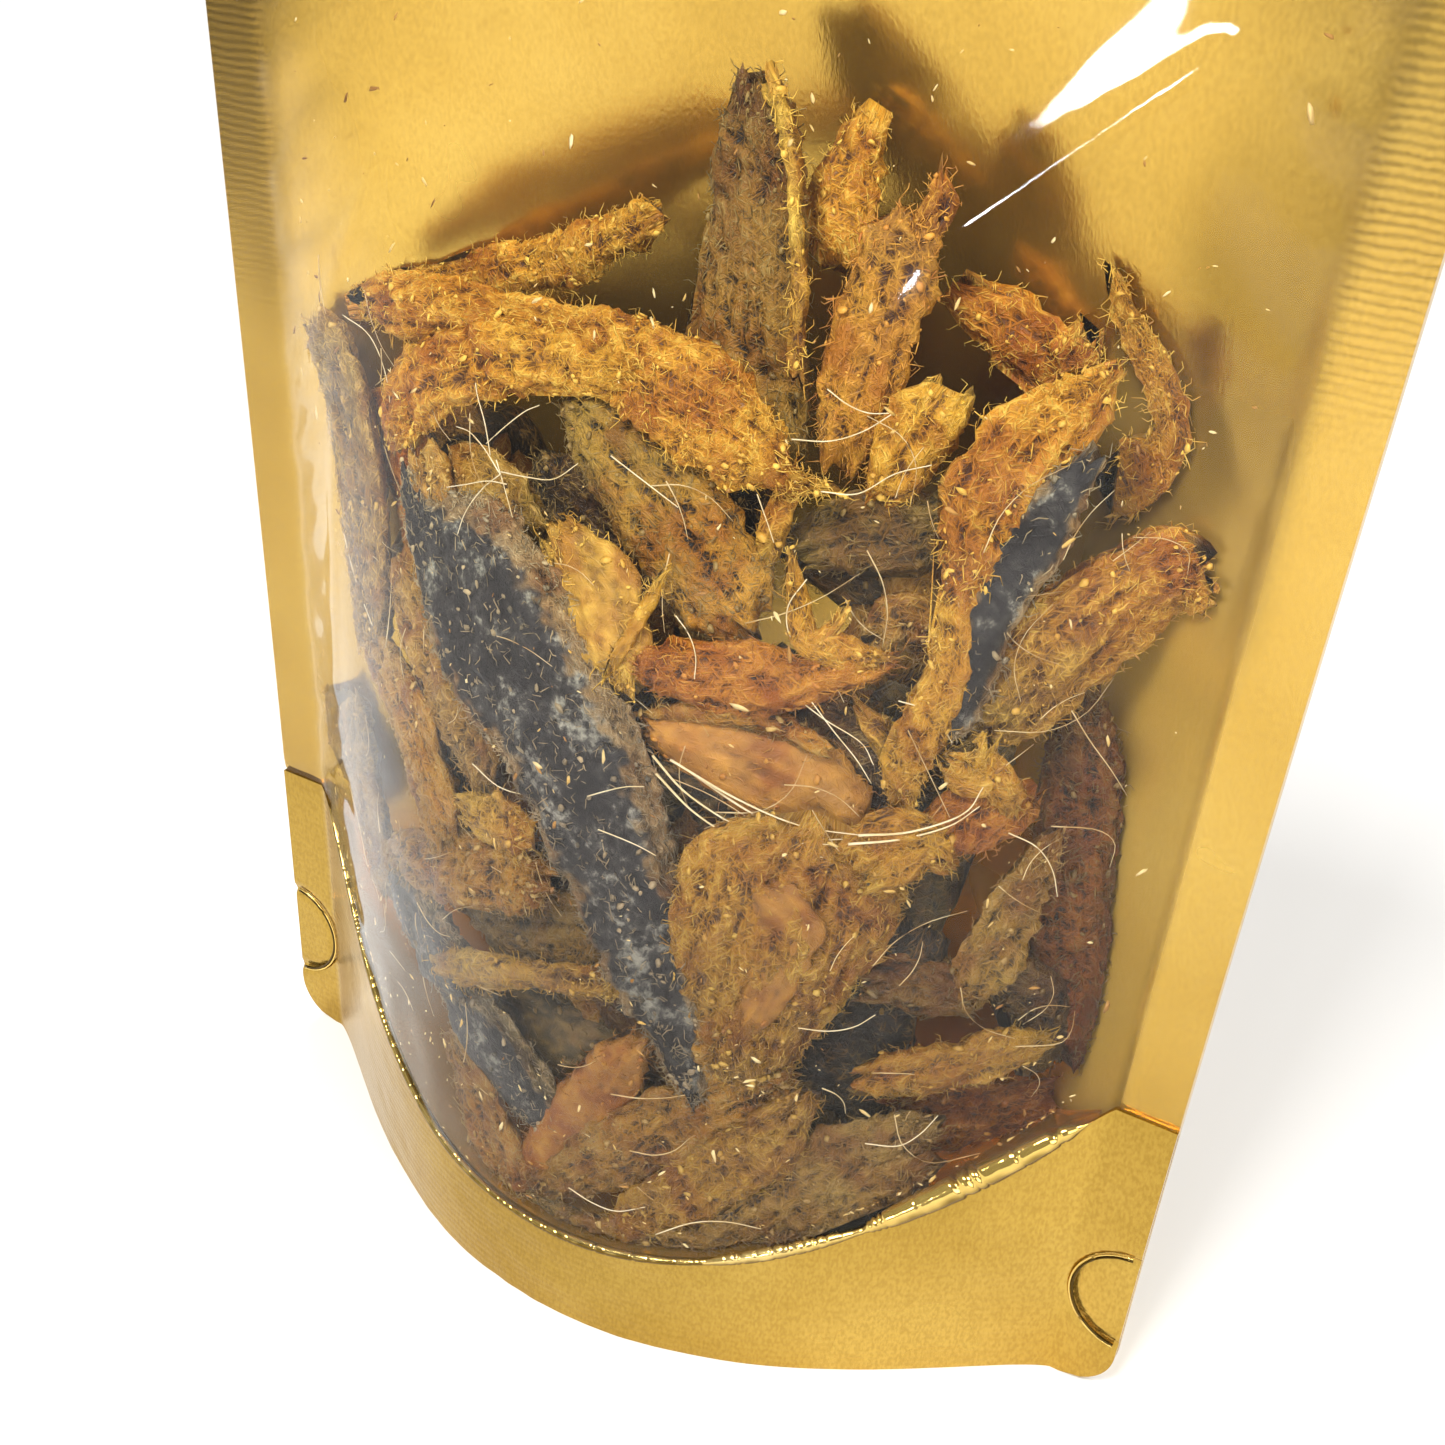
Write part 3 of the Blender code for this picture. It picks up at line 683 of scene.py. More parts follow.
def fish_strip(form, strip, spacing, seed):
    """Add one flat torn strip of dry fish, ragged and matted, along its stations.

    Lengths are in millimetres here until a vertex is placed. Returns places on its surface,
    with the way of its fibres, for the fuzz and crumbs on it.
    """
    kind, end_kind, thick, points, widths, bare_side = strip
    layers = form.verts.layers
    relief_layer = layers.float.get("relief") or layers.float.new("relief")
    bare_layer = layers.float.get("bare") or layers.float.new("bare")
    tone_layer = layers.float_color.get("tone") or layers.float_color.new("tone")
    grain = form.loops.layers.uv.get("grain") or form.loops.layers.uv.new("grain")
    steps = [along_way(points, i / 24) for i in range(25)]
    length = sum((b - a).length for a, b in zip(steps, steps[1:])) / MM
    rows = max(int(length / spacing[0]), 8)
    sides = max(int(max(widths) / FRONT_SHARE / spacing[1]), 12)
    made = bmesh.ops.create_grid(form, x_segments=rows, y_segments=sides, size=1.0)
    verts = made["verts"]
    for face in {face for vert in verts for face in vert.link_faces}:
        for loop in face.loops:
            turned = (loop.vert.co.y + 1) / 2
            loop[grain].uv = ((loop.vert.co.x + 1) / 2 * length + seed * 13,
                              turned / FRONT_SHARE * max(widths) + seed * 5)
    lean = 0.32 * ripple(seed * 1.9, 0.3, 5.5)
    twist = 0.5 * ripple(seed * 2.7, 4.4, 1.5)
    cup = 1.3 * ripple(seed * 3.3, 8.4, 2.5)
    stations = {}
    anchors = []
    for vert in verts:
        t = (vert.co.x + 1) / 2
        c, n = around_strip((vert.co.y + 1) / 2)
        key = round(t, 5)
        if key not in stations:
            stations[key] = strip_station(points, widths, t, lean + twist * (t - 0.5))
        here, way, broad, facing, width = stations[key]
        # Along and across in mm, and how near a torn end this is
        s = t * length
        side = 1 if c > 0 else -1
        to_end = max(1 - s / 2.6, 1 - (length - s) / 3.2, 0.0)
        slim = min(thick, 0.35 * thick + 0.45 * width) * (1 - 0.55 * to_end ** 2)
        torn = 0.8 * ripple(s / 7, side * 3.3, seed) \
            + 0.65 * ripple(s / 2.4, side * 5.1, seed * 2) \
            + 0.4 * ripple(s / 0.9, side * 7.7, seed * 3)
        half = width / 2 + torn * min(width / 7, 1.0)
        b = c * half
        d = n * slim / 2 * max(1 - abs(c) ** 2.6, 0.0) ** 0.6 \
            + cup * (c * c - 0.4) * min(width / 8, 1.0)
        # Coarse fibres, felt, crumbs and lumps on its surface, and the slits between flakes
        fibre = ripple(s / 6, b / 1.1, d / 1.1 + seed)
        felt = ripple(s / 1.3, b / 1.1 + seed, d / 1.1)
        crumb = ripple(s / 0.75, b / 0.7, d / 0.7 + seed)
        lump = ripple(s / 6 + seed, b / 4, d / 4)
        slit = ripple(s / 10, b / 2.2 + seed, 4.0)
        slit = max(1 - abs(slit) / 0.05, 0.0) * (1 - c ** 6) if n > 0 else 0.0
        bare = 0.0
        if bare_side == 1:
            ragged = abs(c) + 0.25 * felt + 0.3 * ripple(s / 4, side * 3.0, seed) \
                - 0.35 * min(c, 0.0)
            bare = (1 - smooth(0.8, 0.98, ragged)) * smooth(-0.5, 0.5, n)
        elif bare_side == 2:
            rim = smooth(0.8, 1.0, abs(c))
            bare = 0.85 * smooth(-0.3, 0.1, 0.25 - to_end + 0.4 * lump - 0.5 * rim)
        rough = 1 - 0.7 * bare
        proud = (0.42 * fibre + 0.5 * felt + 0.34 * crumb) * rough + 0.7 * lump \
            - 0.5 * slit * rough
        proud *= min(1.0, 0.3 + slim / 4)
        tip_seed = seed + (9 if t > 0.5 else 0)
        splinter = to_end * (2.4 * ripple(c * 2.6, n * 1.5, tip_seed)
                             + 1.2 * ripple(c * 7, n * 3, seed * 2.0))
        away = (broad * c ** 3 + facing * (n * (1.02 - abs(c) ** 3))).normalized()
        vert.co = here + (broad * b + facing * d + away * proud
                          + way * splinter * (1 if t > 0.5 else -1)) * MM
        vert.co = keep_inside(vert.co)
        # Relief that the material turns into painted shade and highlight: lower in slits, higher at
        # edges and torn ends
        edge = smooth(0.78, 1.0, abs(c)) * (1 - bare)
        vert[relief_layer] = min(max(0.56 + 0.5 * fibre + 0.55 * felt + 0.4 * crumb + 0.3 * to_end
                                     + 0.2 * edge - 0.45 * slit, 0.0), 1.0)
        vert[bare_layer] = bare
        mixed = min(max(t + 0.35 * lump, 0.0), 1.0)
        vert[tone_layer] = flesh_tone(kind, end_kind, mixed)
        anchors.append((vert.co.copy(), way, broad, away, abs(c), n, to_end, bare))
    bmesh.ops.remove_doubles(form, verts=verts, dist=0.002 * MM)
    verts = [v for v in verts if v.is_valid]
    rims = list({edge for vert in verts for edge in vert.link_edges if edge.is_boundary})
    bmesh.ops.holes_fill(form, edges=rims, sides=0)
    return anchors


def strip_plan():
    """Every strip: both kinds, thickness, way, widths and bare side, and whether it lies behind."""
    plan = []
    for kind, end_kind, thick, start, end, bare_side, stations in STRIPS:
        last = len(stations) - 1
        points = [on_film(x * MM, z * MM, (start + (end - start) * i / last + thick / 2) * MM)
                  for i, (x, z, _) in enumerate(stations)]
        widths = [width for _, _, width in stations]
        plan.append(((kind, end_kind, thick, points, widths, bare_side), False))
    draw = random.Random(11)
    # Steps of the golden ratio and of its square spread them evenly across and up
    for number in range(BEHIND):
        across = -0.86 + 1.72 * ((number * 0.618) % 1.0)
        packed = number >= BEHIND - BEHIND_LOW
        low = 20 + (34 if packed else 66) * ((number * 0.381) % 1.0)
        turn = draw.uniform(-0.9, 0.9)
        length = draw.uniform(24, 34) if packed else draw.uniform(34, 52)
        width = draw.uniform(8, 14)
        thick = draw.uniform(4, 6)
        points = []
        for i in range(3):
            z = min(low + length * i / 2 * math.cos(turn), 99 + 5 * across)
            reach = chamber_half_width(z * MM) / MM - (9 if across < 0 or packed else 19)
            x = min(max(across * reach + length * (i / 2 - 0.5) * math.sin(turn), -reach), reach)
            room = (bulge(x * MM, z * MM, FRONT_CLOSES) + bulge(x * MM, z * MM, BACK_CLOSES)) / MM
            deep = draw.uniform(8, 13) if packed else draw.uniform(*BEHIND_DEPTH)
            depth = max(min(deep, room - thick), thick / 2 + 5)
            lowest = seal_line(x * MM / chamber_half_width(z * MM)) / MM + 6
            points.append(on_film(x * MM, max(z, lowest) * MM, depth * MM))
        kind = BEHIND_KINDS[number % len(BEHIND_KINDS)]
        plan.append(((kind, kind, thick, points, [width * 0.6, width, width * 0.6],
                      int(kind == "navy")), True))
    return plan


def thread_template(name, rings, sides):
    """A closed unit thread along Z, cut into rings, as a mesh to be copied and bent."""
    form = bmesh.new()
    bmesh.ops.create_cone(form, cap_ends=True, cap_tris=False, segments=sides,
                          radius1=1.0, radius2=1.0, depth=1.0)
    for i in range(1, rings):
        everything = list(form.verts) + list(form.edges) + list(form.faces)
        bmesh.ops.bisect_plane(form, geom=everything, plane_co=(0, 0, i / rings - 0.5),
                               plane_no=(0, 0, 1))
    mesh = bpy.data.meshes.new(name)
    form.to_mesh(mesh)
    form.free()
    return mesh


def many_threads(name, threads, rings, sides):
    """Bend one copy of a unit thread along each of the given ways.

    Each thread is (points, start radius, end radius), in metres.
    """
    template = thread_template(name + "_unit", rings, sides)
    count = len(template.vertices)
    form = bmesh.new()
    for _ in threads:
        form.from_mesh(template)
    form.verts.ensure_lookup_table()
    for number, (points, start, end) in enumerate(threads):
        frames = {}
        for vert in form.verts[number * count:(number + 1) * count]:
            t = vert.co.z + 0.5
            key = round(t, 4)
            if key not in frames:
                here = along_way(points, t)
                way = (along_way(points, min(t + 0.05, 1.0))
                       - along_way(points, max(t - 0.05, 0.0))).normalized()
                aside = way.orthogonal().normalized()
                frames[key] = (here, aside, way.cross(aside))
            here, aside, other = frames[key]
            radius = start + (end - start) * t
            vert.co = here + (aside * vert.co.x + other * vert.co.y) * radius
    bpy.data.meshes.remove(template)
    return finish_form(name, form, 0)


def many_crumbs(name, crumbs):
    """Angular crumbs, each (place, three half sizes, turn), from one small faceted ball."""
    unit = bmesh.new()
    bmesh.ops.create_icosphere(unit, subdivisions=1, radius=1.0)
    template = bpy.data.meshes.new(name + "_unit")
    unit.to_mesh(template)
    unit.free()
    count = len(template.vertices)
    form = bmesh.new()
    for _ in crumbs:
        form.from_mesh(template)
    form.verts.ensure_lookup_table()
    for number, (place, sizes, turn) in enumerate(crumbs):
        for vert in form.verts[number * count:(number + 1) * count]:
            uneven = 1 + 0.85 * noise.noise(vert.co * 1.9 + Vector((number * 1.37, 0, 0)))
            vert.co = place + turn @ Vector((vert.co.x * sizes[0], vert.co.y * sizes[1],
                                             vert.co.z * sizes[2])) * uneven
    bpy.data.meshes.remove(template)
    return finish_form(name, form, 0)


# Thin bones and long hairs: depth behind the film and their way (x, z), in mm. The first few are
# the pale fan in the middle, laid as written; the others are thinner and stray from their way.
FAN_BONES = 6
BONES = (
    (2.2, (9.2, 78.8), (13.7, 75.5), (21.3, 72.3), (28.5, 72.6)),
    (2.4, (11.3, 78.9), (18.3, 76.2), (24.9, 74.2), (30.9, 73.5)),
    (2.4, (9.8, 76.8), (15, 73.3), (21.4, 70.8), (27.4, 70.8)),
    (3, (13.2, 77.8), (19.4, 74.6), (25.1, 72.5), (29.4, 72.6)),
    (2, (30.4, 73.7), (35.1, 74.6), (39.1, 76.9), (40.7, 80.2)),
    (2.2, (29.8, 72.6), (34.2, 73.5), (38.3, 75.4), (40.4, 78)),
    (2.4, (23.6, 87.7), (27.1, 84.4), (29.8, 81), (31.1, 77.9)),
    (3, (24.4, 85.9), (28.2, 84.1), (31.7, 81.6), (33.1, 79.3)),
    (1.6, (3.4, 72.3), (7.5, 74.3), (11.6, 75.7), (13.9, 75.4)),
    (1.4, (3.9, 69.8), (8.1, 69), (11.6, 68.5), (14.7, 68.4)),
    (2.6, (1.7, 105.6), (6.4, 103.8), (11.3, 101.6), (15.4, 99.3)),
    (3, (18.6, 118), (22.2, 116.9), (25.6, 116.7), (29.2, 117.6)),
    (3, (19.7, 110.8), (23.2, 111.4), (26.1, 112.6), (28.4, 114.6)),
    (3, (20.4, 108.9), (24, 109.2), (27.2, 111.3), (30.1, 112.7)),
    (2.6, (28.1, 48.3), (32.3, 48.6), (35.3, 50.6), (37.2, 53.9)),
    (2, (-14.8, 70.3), (-8.9, 69.4), (-3.8, 71.2), (0.1, 74.6)),
    (1.8, (-13.9, 102.6), (-18, 104.5), (-22, 105), (-24.8, 104.6)),
    (1.8, (-13.9, 102.6), (-16.5, 99.4), (-18.9, 95.9), (-19.5, 92.7)),
    (2.2, (-14.3, 102.5), (-10.8, 105.7), (-8.4, 107.8), (-6.2, 108.7)),
    (1.8, (-13.9, 102.6), (-15.3, 105.6), (-17.3, 107.7), (-17.3, 109.5)),
    (2, (-14.1, 102.5), (-11.9, 100.1), (-10.3, 97.5), (-10, 94.5)),
    (2.4, (-14.5, 102.4), (-10.1, 102.6), (-6.7, 103.7), (-4, 105.9)),
    (1.6, (-13.7, 102.7), (-17.6, 101.8), (-21.7, 99.9), (-26, 98.9)),
    (1.6, (-43.4, 108.6), (-36.2, 107.5), (-32.3, 103.3), (-30.8, 97.2)),
    (1.6, (-47.3, 84.5), (-43.4, 80), (-36.8, 76.9), (-29.1, 76.3)),
    (1.8, (12.6, 92.1), (14.7, 89.3), (15.3, 86.5), (14.7, 83.8)),
    (1.8, (1.1, 19.9), (6.7, 19.4), (12.9, 22.5), (18.5, 26.6)),
    (1.6, (12, 17.9), (17.7, 21.6), (23.2, 22), (28.5, 20.6)),
    (2, (36.4, 33.3), (39.4, 33.3), (41.8, 36), (43.3, 39.5)),
    (3, (32.1, 88.5), (35, 87.1), (37, 84.3), (37.7, 80.8)),
    (2.6, (19.5, 101.1), (18.4, 98), (19.3, 95.2), (21.4, 93.5)),
    (4, (33.3, 102.6), (35.6, 99.8), (36.8, 95.9), (36.5, 92.3)),
    (2.6, (42.7, 75.1), (45.6, 72.8), (47.5, 68.8), (48.3, 64.3)),
    (3.4, (13.2, 108.6), (14.5, 106), (16.3, 103.4), (18.6, 101.6)),
)


class POUCH_PG_film(bpy.types.PropertyGroup):
    """The gold and clear films"""
    gold_roughness: bpy.props.FloatProperty(
        name="Gold roughness", description="How softly the gold film mirrors", default=0.2,
        min=0.05, max=0.8, subtype="FACTOR")
    gold_tint: bpy.props.FloatVectorProperty(
        name="Gold tint", description="Colour laid over the gold film's own", default=(1, 1, 1),
        min=0.0, max=1.0, subtype="COLOR")
    haze: bpy.props.FloatProperty(
        name="Film haze", description="Milkiness of the clear film", default=0.003,
        min=0.0, max=0.5, subtype="FACTOR")
    ridge: bpy.props.FloatProperty(
        name="Seal ridge", description="Radius of the rolled ridge on the curved seal",
        default=1.25 * MM, min=0.2 * MM, max=3 * MM, unit="LENGTH")


class POUCH_PG_fish(bpy.types.PropertyGroup):
    """The dry fish and what is loose on it"""
    smoke: bpy.props.FloatVectorProperty(
        name="Smoke", description="Colour that smoking lays over the flesh",
        default=(0.96, 0.95, 0.74), min=0.0, max=1.0, subtype="COLOR")
    fuzz: bpy.props.IntProperty(
        name="Fuzz", description="Short fibres matted on the strips", default=20000,
        min=500, max=60000)
    flakes: bpy.props.IntProperty(
        name="Flakes", description="Crumbs and flakes that lie on the strips", default=2000,
        min=100, max=20000)
    hairs: bpy.props.IntProperty(
        name="Hairs", description="Long loose fibres and hair bones", default=120, min=0, max=3000)
    crumbs: bpy.props.IntProperty(
        name="Crumbs", description="Crumbs that cling to the clear film", default=560,
        min=0, max=5000)


class POUCH_PG_stage(bpy.types.PropertyGroup):
    """The camera"""
    azimuth: bpy.props.FloatProperty(
        name="Azimuth", description="Camera's turn round the pouch, from its front",
        default=math.radians(28.9), subtype="ANGLE")
    elevation: bpy.props.FloatProperty(
        name="Elevation", description="Camera's tilt down", default=math.radians(28.9),
        subtype="ANGLE")
    roll: bpy.props.FloatProperty(
        name="Roll", description="Camera's lean", default=math.radians(3.97), subtype="ANGLE")
    place: bpy.props.FloatVectorProperty(
        name="Camera place", description="Where the camera stands", unit="LENGTH",
        default=(86.1 * MM, -148.0 * MM, 164.4 * MM))
    lens: bpy.props.FloatProperty(
        name="Lens", description="Focal length on a sensor 36 mm wide", default=42.35,
        unit="CAMERA")


class POUCH_OT_gold_back(bpy.types.Operator):
    """Make the gold back film, with crimped side seals and its sealed header"""
    bl_idname = "pouch.gold_back"
    bl_label = "Gold back"

    def execute(self, context):
        share = 0.86

        def lie(side, rise, far):
            z = rise * POUCH_HEIGHT
            x = column(side, z, share)
            out = bulge(x, z, BACK_CLOSES)
            slack = min(out / (5 * MM), 1.0)
            dents = (0.7 * waves(x, z, 24 * MM, 5) + 0.3 * waves(x, z, 9 * MM, 6)) * MM * slack
            from_seal = (chamber_half_width(z) - abs(x)) / (8 * MM)
            near_seal = smooth(0.0, 0.3, from_seal) * smooth(1.4, 0.4, from_seal)
            dents += 0.7 * MM * pucker(x, z, 15) * near_seal
            inner = chamber_half_width(z)
            on_seal = smooth(inner - 0.5 * MM, inner + 0.5 * MM, abs(x))
            above_fold = smooth(GUSSET_FOLD, GUSSET_FOLD + 0.6 * MM, z)
            forward = 0.85 * MM * max(on_seal * above_fold, on_top_seal(z))
            front = GAP / 2 + out - min(dents, 0.0) * 0.5 - forward
            back = GAP / 2 + SHEET + out + max(min(dents, 0.0), -0.4 * MM)
            if far:
                return x, back, z
            return x, min(front, back - 0.2 * MM), z

        obj = make_shell("gold_back_film", 90, 140, lie)
        mark_points(obj, "crimp", self.crimp)
        mark_points(obj, "satin", self.satin)
        mark_points(obj, "painted_shade", self.painted_shade)
        # Smooth and satin, with ribs in its seals only
        obj.data.materials.append(gold_film(
            "metallised_gold_laminate", ("#C6A044", "#D0AA4C", "#DAB658"), 0.1))
        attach(obj, "root")
        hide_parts("gold_back")
        return {"FINISHED"}

    @staticmethod
    def crimp(x, z):
        """Where the film is heat sealed: the side seals and the top."""
        inner = chamber_half_width(z)
        return max(smooth(inner - 0.8 * MM, inner + 0.4 * MM, abs(x)), on_top_seal(z))

    @staticmethod
    def satin(x, z):
        """Where the film is pressed flat and dull: right in the chamber, most at 40 to 100 mm up."""
        inner = chamber_half_width(z)
        side = smooth(0.6, 0.8, x / inner + 0.25 * waves(x, z, 11 * MM, 33))
        off_seal = smooth(inner + 1 * MM, inner - 1 * MM, x)
        return side * off_seal * smooth(28 * MM, 40 * MM, z) * smooth(128 * MM, 100 * MM, z)

    @staticmethod
    def painted_shade(x, z):
        """Painted shade and dark reflection: along the left seal and high on the right."""
        inner = chamber_half_width(z)
        uneven = 14 * MM * waves(x, z, 16 * MM, 41)
        left = smooth(-inner + 3 * MM, -inner - 1 * MM, x)
        right = smooth(42 * MM, 52 * MM, x + uneven * 0.4) * smooth(62 * MM, 57 * MM, x)
        return max(left * (0.3 + 0.36 * smooth(96 * MM, 120 * MM, z + uneven)),
                   0.5 * right * smooth(92 * MM, 106 * MM, z + uneven) * smooth(150 * MM, 128 * MM, z))


class POUCH_OT_gold_foot(bpy.types.Operator):
    """Make the gold foot of the front, its punch marks and the ridge on its curved seal"""
    bl_idname = "pouch.gold_foot"
    bl_label = "Gold foot"

    def execute(self, context):
        share = 0.84

        def lie(side, rise, far):
            across = min(max(side / share, -1.0), 1.0)
            z = rise * seal_line(across)
            x = column(side, z, share)
            out = bulge(x, z, FRONT_CLOSES)
            slack = min(out / (4 * MM), 1.0)
            dents = 0.45 * waves(x, z, 15 * MM, 8) + 0.12 * waves(x, z, 3 * MM, 9)
            from_punch = math.hypot(abs(x) - straight_half_width(PUNCH_HEIGHT), z - PUNCH_HEIGHT)
            edge = (from_punch - PUNCH_RADIUS) / (0.6 * MM)
            pressed = 0.14 * (1 - smooth(-0.6, 0.6, edge)) + 0.46 * math.exp(-edge ** 2)
            hollow = 0.15 * math.log(1 + math.exp(-dents / 0.15)) * slack
            inset = (hollow + pressed) * MM
            if far:
                return x, -GAP / 2 - out, z
            return x, -FACE - out + min(inset, 0.62 * MM), z

        obj = make_shell("gold_foot_film", 190, 64, lie)
        mark_points(obj, "crimp", lambda x, z: 0.55)
        # Painted shade on the foot, darker towards its left
        mark_points(obj, "painted_shade", lambda x, z: 0.26 * smooth(35 * MM, 5 * MM, x))
        # Finely embossed all over the foot, so grained and duller; its darker gold is painted shade
        obj.data.materials.append(gold_film(
            "crimped_shaded_gold_laminate", ("#B8953E", "#C29F46", "#D0AE54"), 0.22))
        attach(obj, "root")
        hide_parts("gold_skirt")

        ridge = self.make_ridge(context.scene.pouch_film.ridge)
        # Pulled tight over the rolled edge, so glossy; its paler gold is a painted highlight
        ridge.data.materials.append(gold_film(
            "highlit_gold_laminate", ("#DDB95A", "#E8C670", "#F2D68C"), 0.0, 0.1))
        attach(ridge, "root")

        # Round each punch mark: a painted shadow line in dark olive and, just outside it, a painted
        # highlight in pale gold
        for name, extra, thick, shade in (("punch_painted_shadow", 0.0, 0.17, "#4C3A10"),
                                          ("punch_painted_highlight", 0.34, 0.13, "#E8C670")):
            threads = []
            for side in (-1, 1):
                edge = straight_half_width(PUNCH_HEIGHT)
                points = []
                for i in range(13):
                    turn = math.radians(-84 + 168 * i / 12)
                    radius = PUNCH_RADIUS + extra * MM
                    x = edge - radius * math.cos(turn)
                    z = PUNCH_HEIGHT + radius * math.sin(turn)
                    points.append(Vector((side * x, -FACE - bulge(x, z, FRONT_CLOSES), z)))
                threads.append((points, thick * MM, thick * MM))
            line = many_threads(name, threads, 36, 6)
            line.data.materials.append(gold_film(name + "_gold_laminate", (shade,) * 3, 0.0, 0.05))
            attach(line, "root")
        return {"FINISHED"}

    def make_ridge(self, radius):
        """A rolled ridge along the curved seal, thicker where the film is most stretched."""
        form = bmesh.new()
        bmesh.ops.create_grid(form, x_segments=620, y_segments=16, size=1.0)
        painted_shade = form.verts.layers.float.new("painted_shade")
        for vert in form.verts:
            across = vert.co.x * RIDGE_REACH
            turn = math.pi * vert.co.y
            z = seal_line(across)
            x = across * chamber_half_width(z)
            arc = x / MM
            girth = 0.3
            for start, end, share in RIDGE_ROLLS:
                if start < arc < end:
                    swell = 4 * (arc - start) * (end - arc) / (end - start) ** 2
                    girth = max(girth, share * swell ** 0.45)
            crack_and_shade = ripple(arc / 1.7, 3.0, 4.0) \
                + 0.5 * ripple(arc / 0.7, 1.0, 2.0)
            girth *= 1 + 0.06 * ripple(arc / 1.2, turn, 4.0) \
                - 0.35 * max(1 - abs(crack_and_shade) / 0.06, 0.0)
            girth = radius * girth * min((1 - abs(across / RIDGE_REACH)) * 30, 1.0) + 0.02 * MM
            rise_rate = SEAL_CURVE * (GUSSET_FOLD - FLOOR_HEIGHT) * abs(across) ** (SEAL_CURVE - 1) \
                / chamber_half_width(z)
            way = Vector((1, 0, math.copysign(rise_rate, across))).normalized()
            out = outward(x, z)
            up = out.cross(way).normalized()
            centre = Vector((x, -FACE - bulge(x, z, FRONT_CLOSES), z)) - out * girth * 0.3 \
                + up * girth * 0.25
            vert.co = centre + out * math.cos(turn) * girth * 0.85 + up * math.sin(turn) * girth
            vert.co.y = max(vert.co.y, CAD_BOX[0][1] - RIDGE_PROUD)
            # Painted shade on the lower side of the roll, over more of it left of 19.8 mm
            bright = 0.1 if arc > 19.8 else 0.75
            vert[painted_shade] = smooth(bright + 0.2, bright - 0.5, math.sin(turn) + 0.3 * crack_and_shade)
        bmesh.ops.remove_doubles(form, verts=form.verts, dist=0.001 * MM)
        bmesh.ops.holes_fill(form, edges=[e for e in form.edges if e.is_boundary], sides=0)
        bmesh.ops.recalc_face_normals(form, faces=form.faces)
        return finish_form("curved_seal_ridge", form, 0)


class POUCH_OT_gusset(bpy.types.Operator):
    """Make the gusset film under the fish, spread open and a little slack"""
    bl_idname = "pouch.gusset"
    bl_label = "Gusset floor"

    def execute(self, context):
        def lie(side, rise, drop):
            across = side * 0.97
            z = seal_line(across)
            x = across * chamber_half_width(z)
            front_y = -bulge(x, z, FRONT_CLOSES) + GAP
            back_y = bulge(x, z, BACK_CLOSES) - GAP
            sag = 0.5 * MM * waves(x, rise * 40 * MM, 12 * MM, 12) * math.sin(math.pi * rise)
            return x, front_y + rise * (back_y - front_y), z - drop + min(sag, 0.0)

        obj = make_shell("gusset_floor_film", 70, 20, lie, 0.1 * MM, 0.7 * MM)
        mark_points(obj, "crimp", lambda x, z: 0.0)
        # The same laminate, neither sealed nor pressed
        obj.data.materials.append(gold_film(
            "plain_gold_laminate", ("#D9A83E", "#E4B64C", "#ECC460"), 0.0))
        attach(obj, "root")
        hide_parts("gusset_floor")
        return {"FINISHED"}


class POUCH_OT_clear_front(bpy.types.Operator):
    """Make the clear front film, bulging over the fish and dented"""
    bl_idname = "pouch.clear_front"
    bl_label = "Clear front"

    def execute(self, context):
        share = 0.9

        def lie(side, rise, far):
            foot = seal_line(side / share) + GAP
            z = foot + rise * (POUCH_HEIGHT - foot)
            x = column(side, z, share)
            return x, film_front(x, z) + (0.12 * MM if far else 0.0), z

        obj = make_shell("clear_front_film", 100, 140, lie)
        obj.data.materials.append(clear_film())
        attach(obj, "root")
        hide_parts("clear_bag")
        return {"FINISHED"}


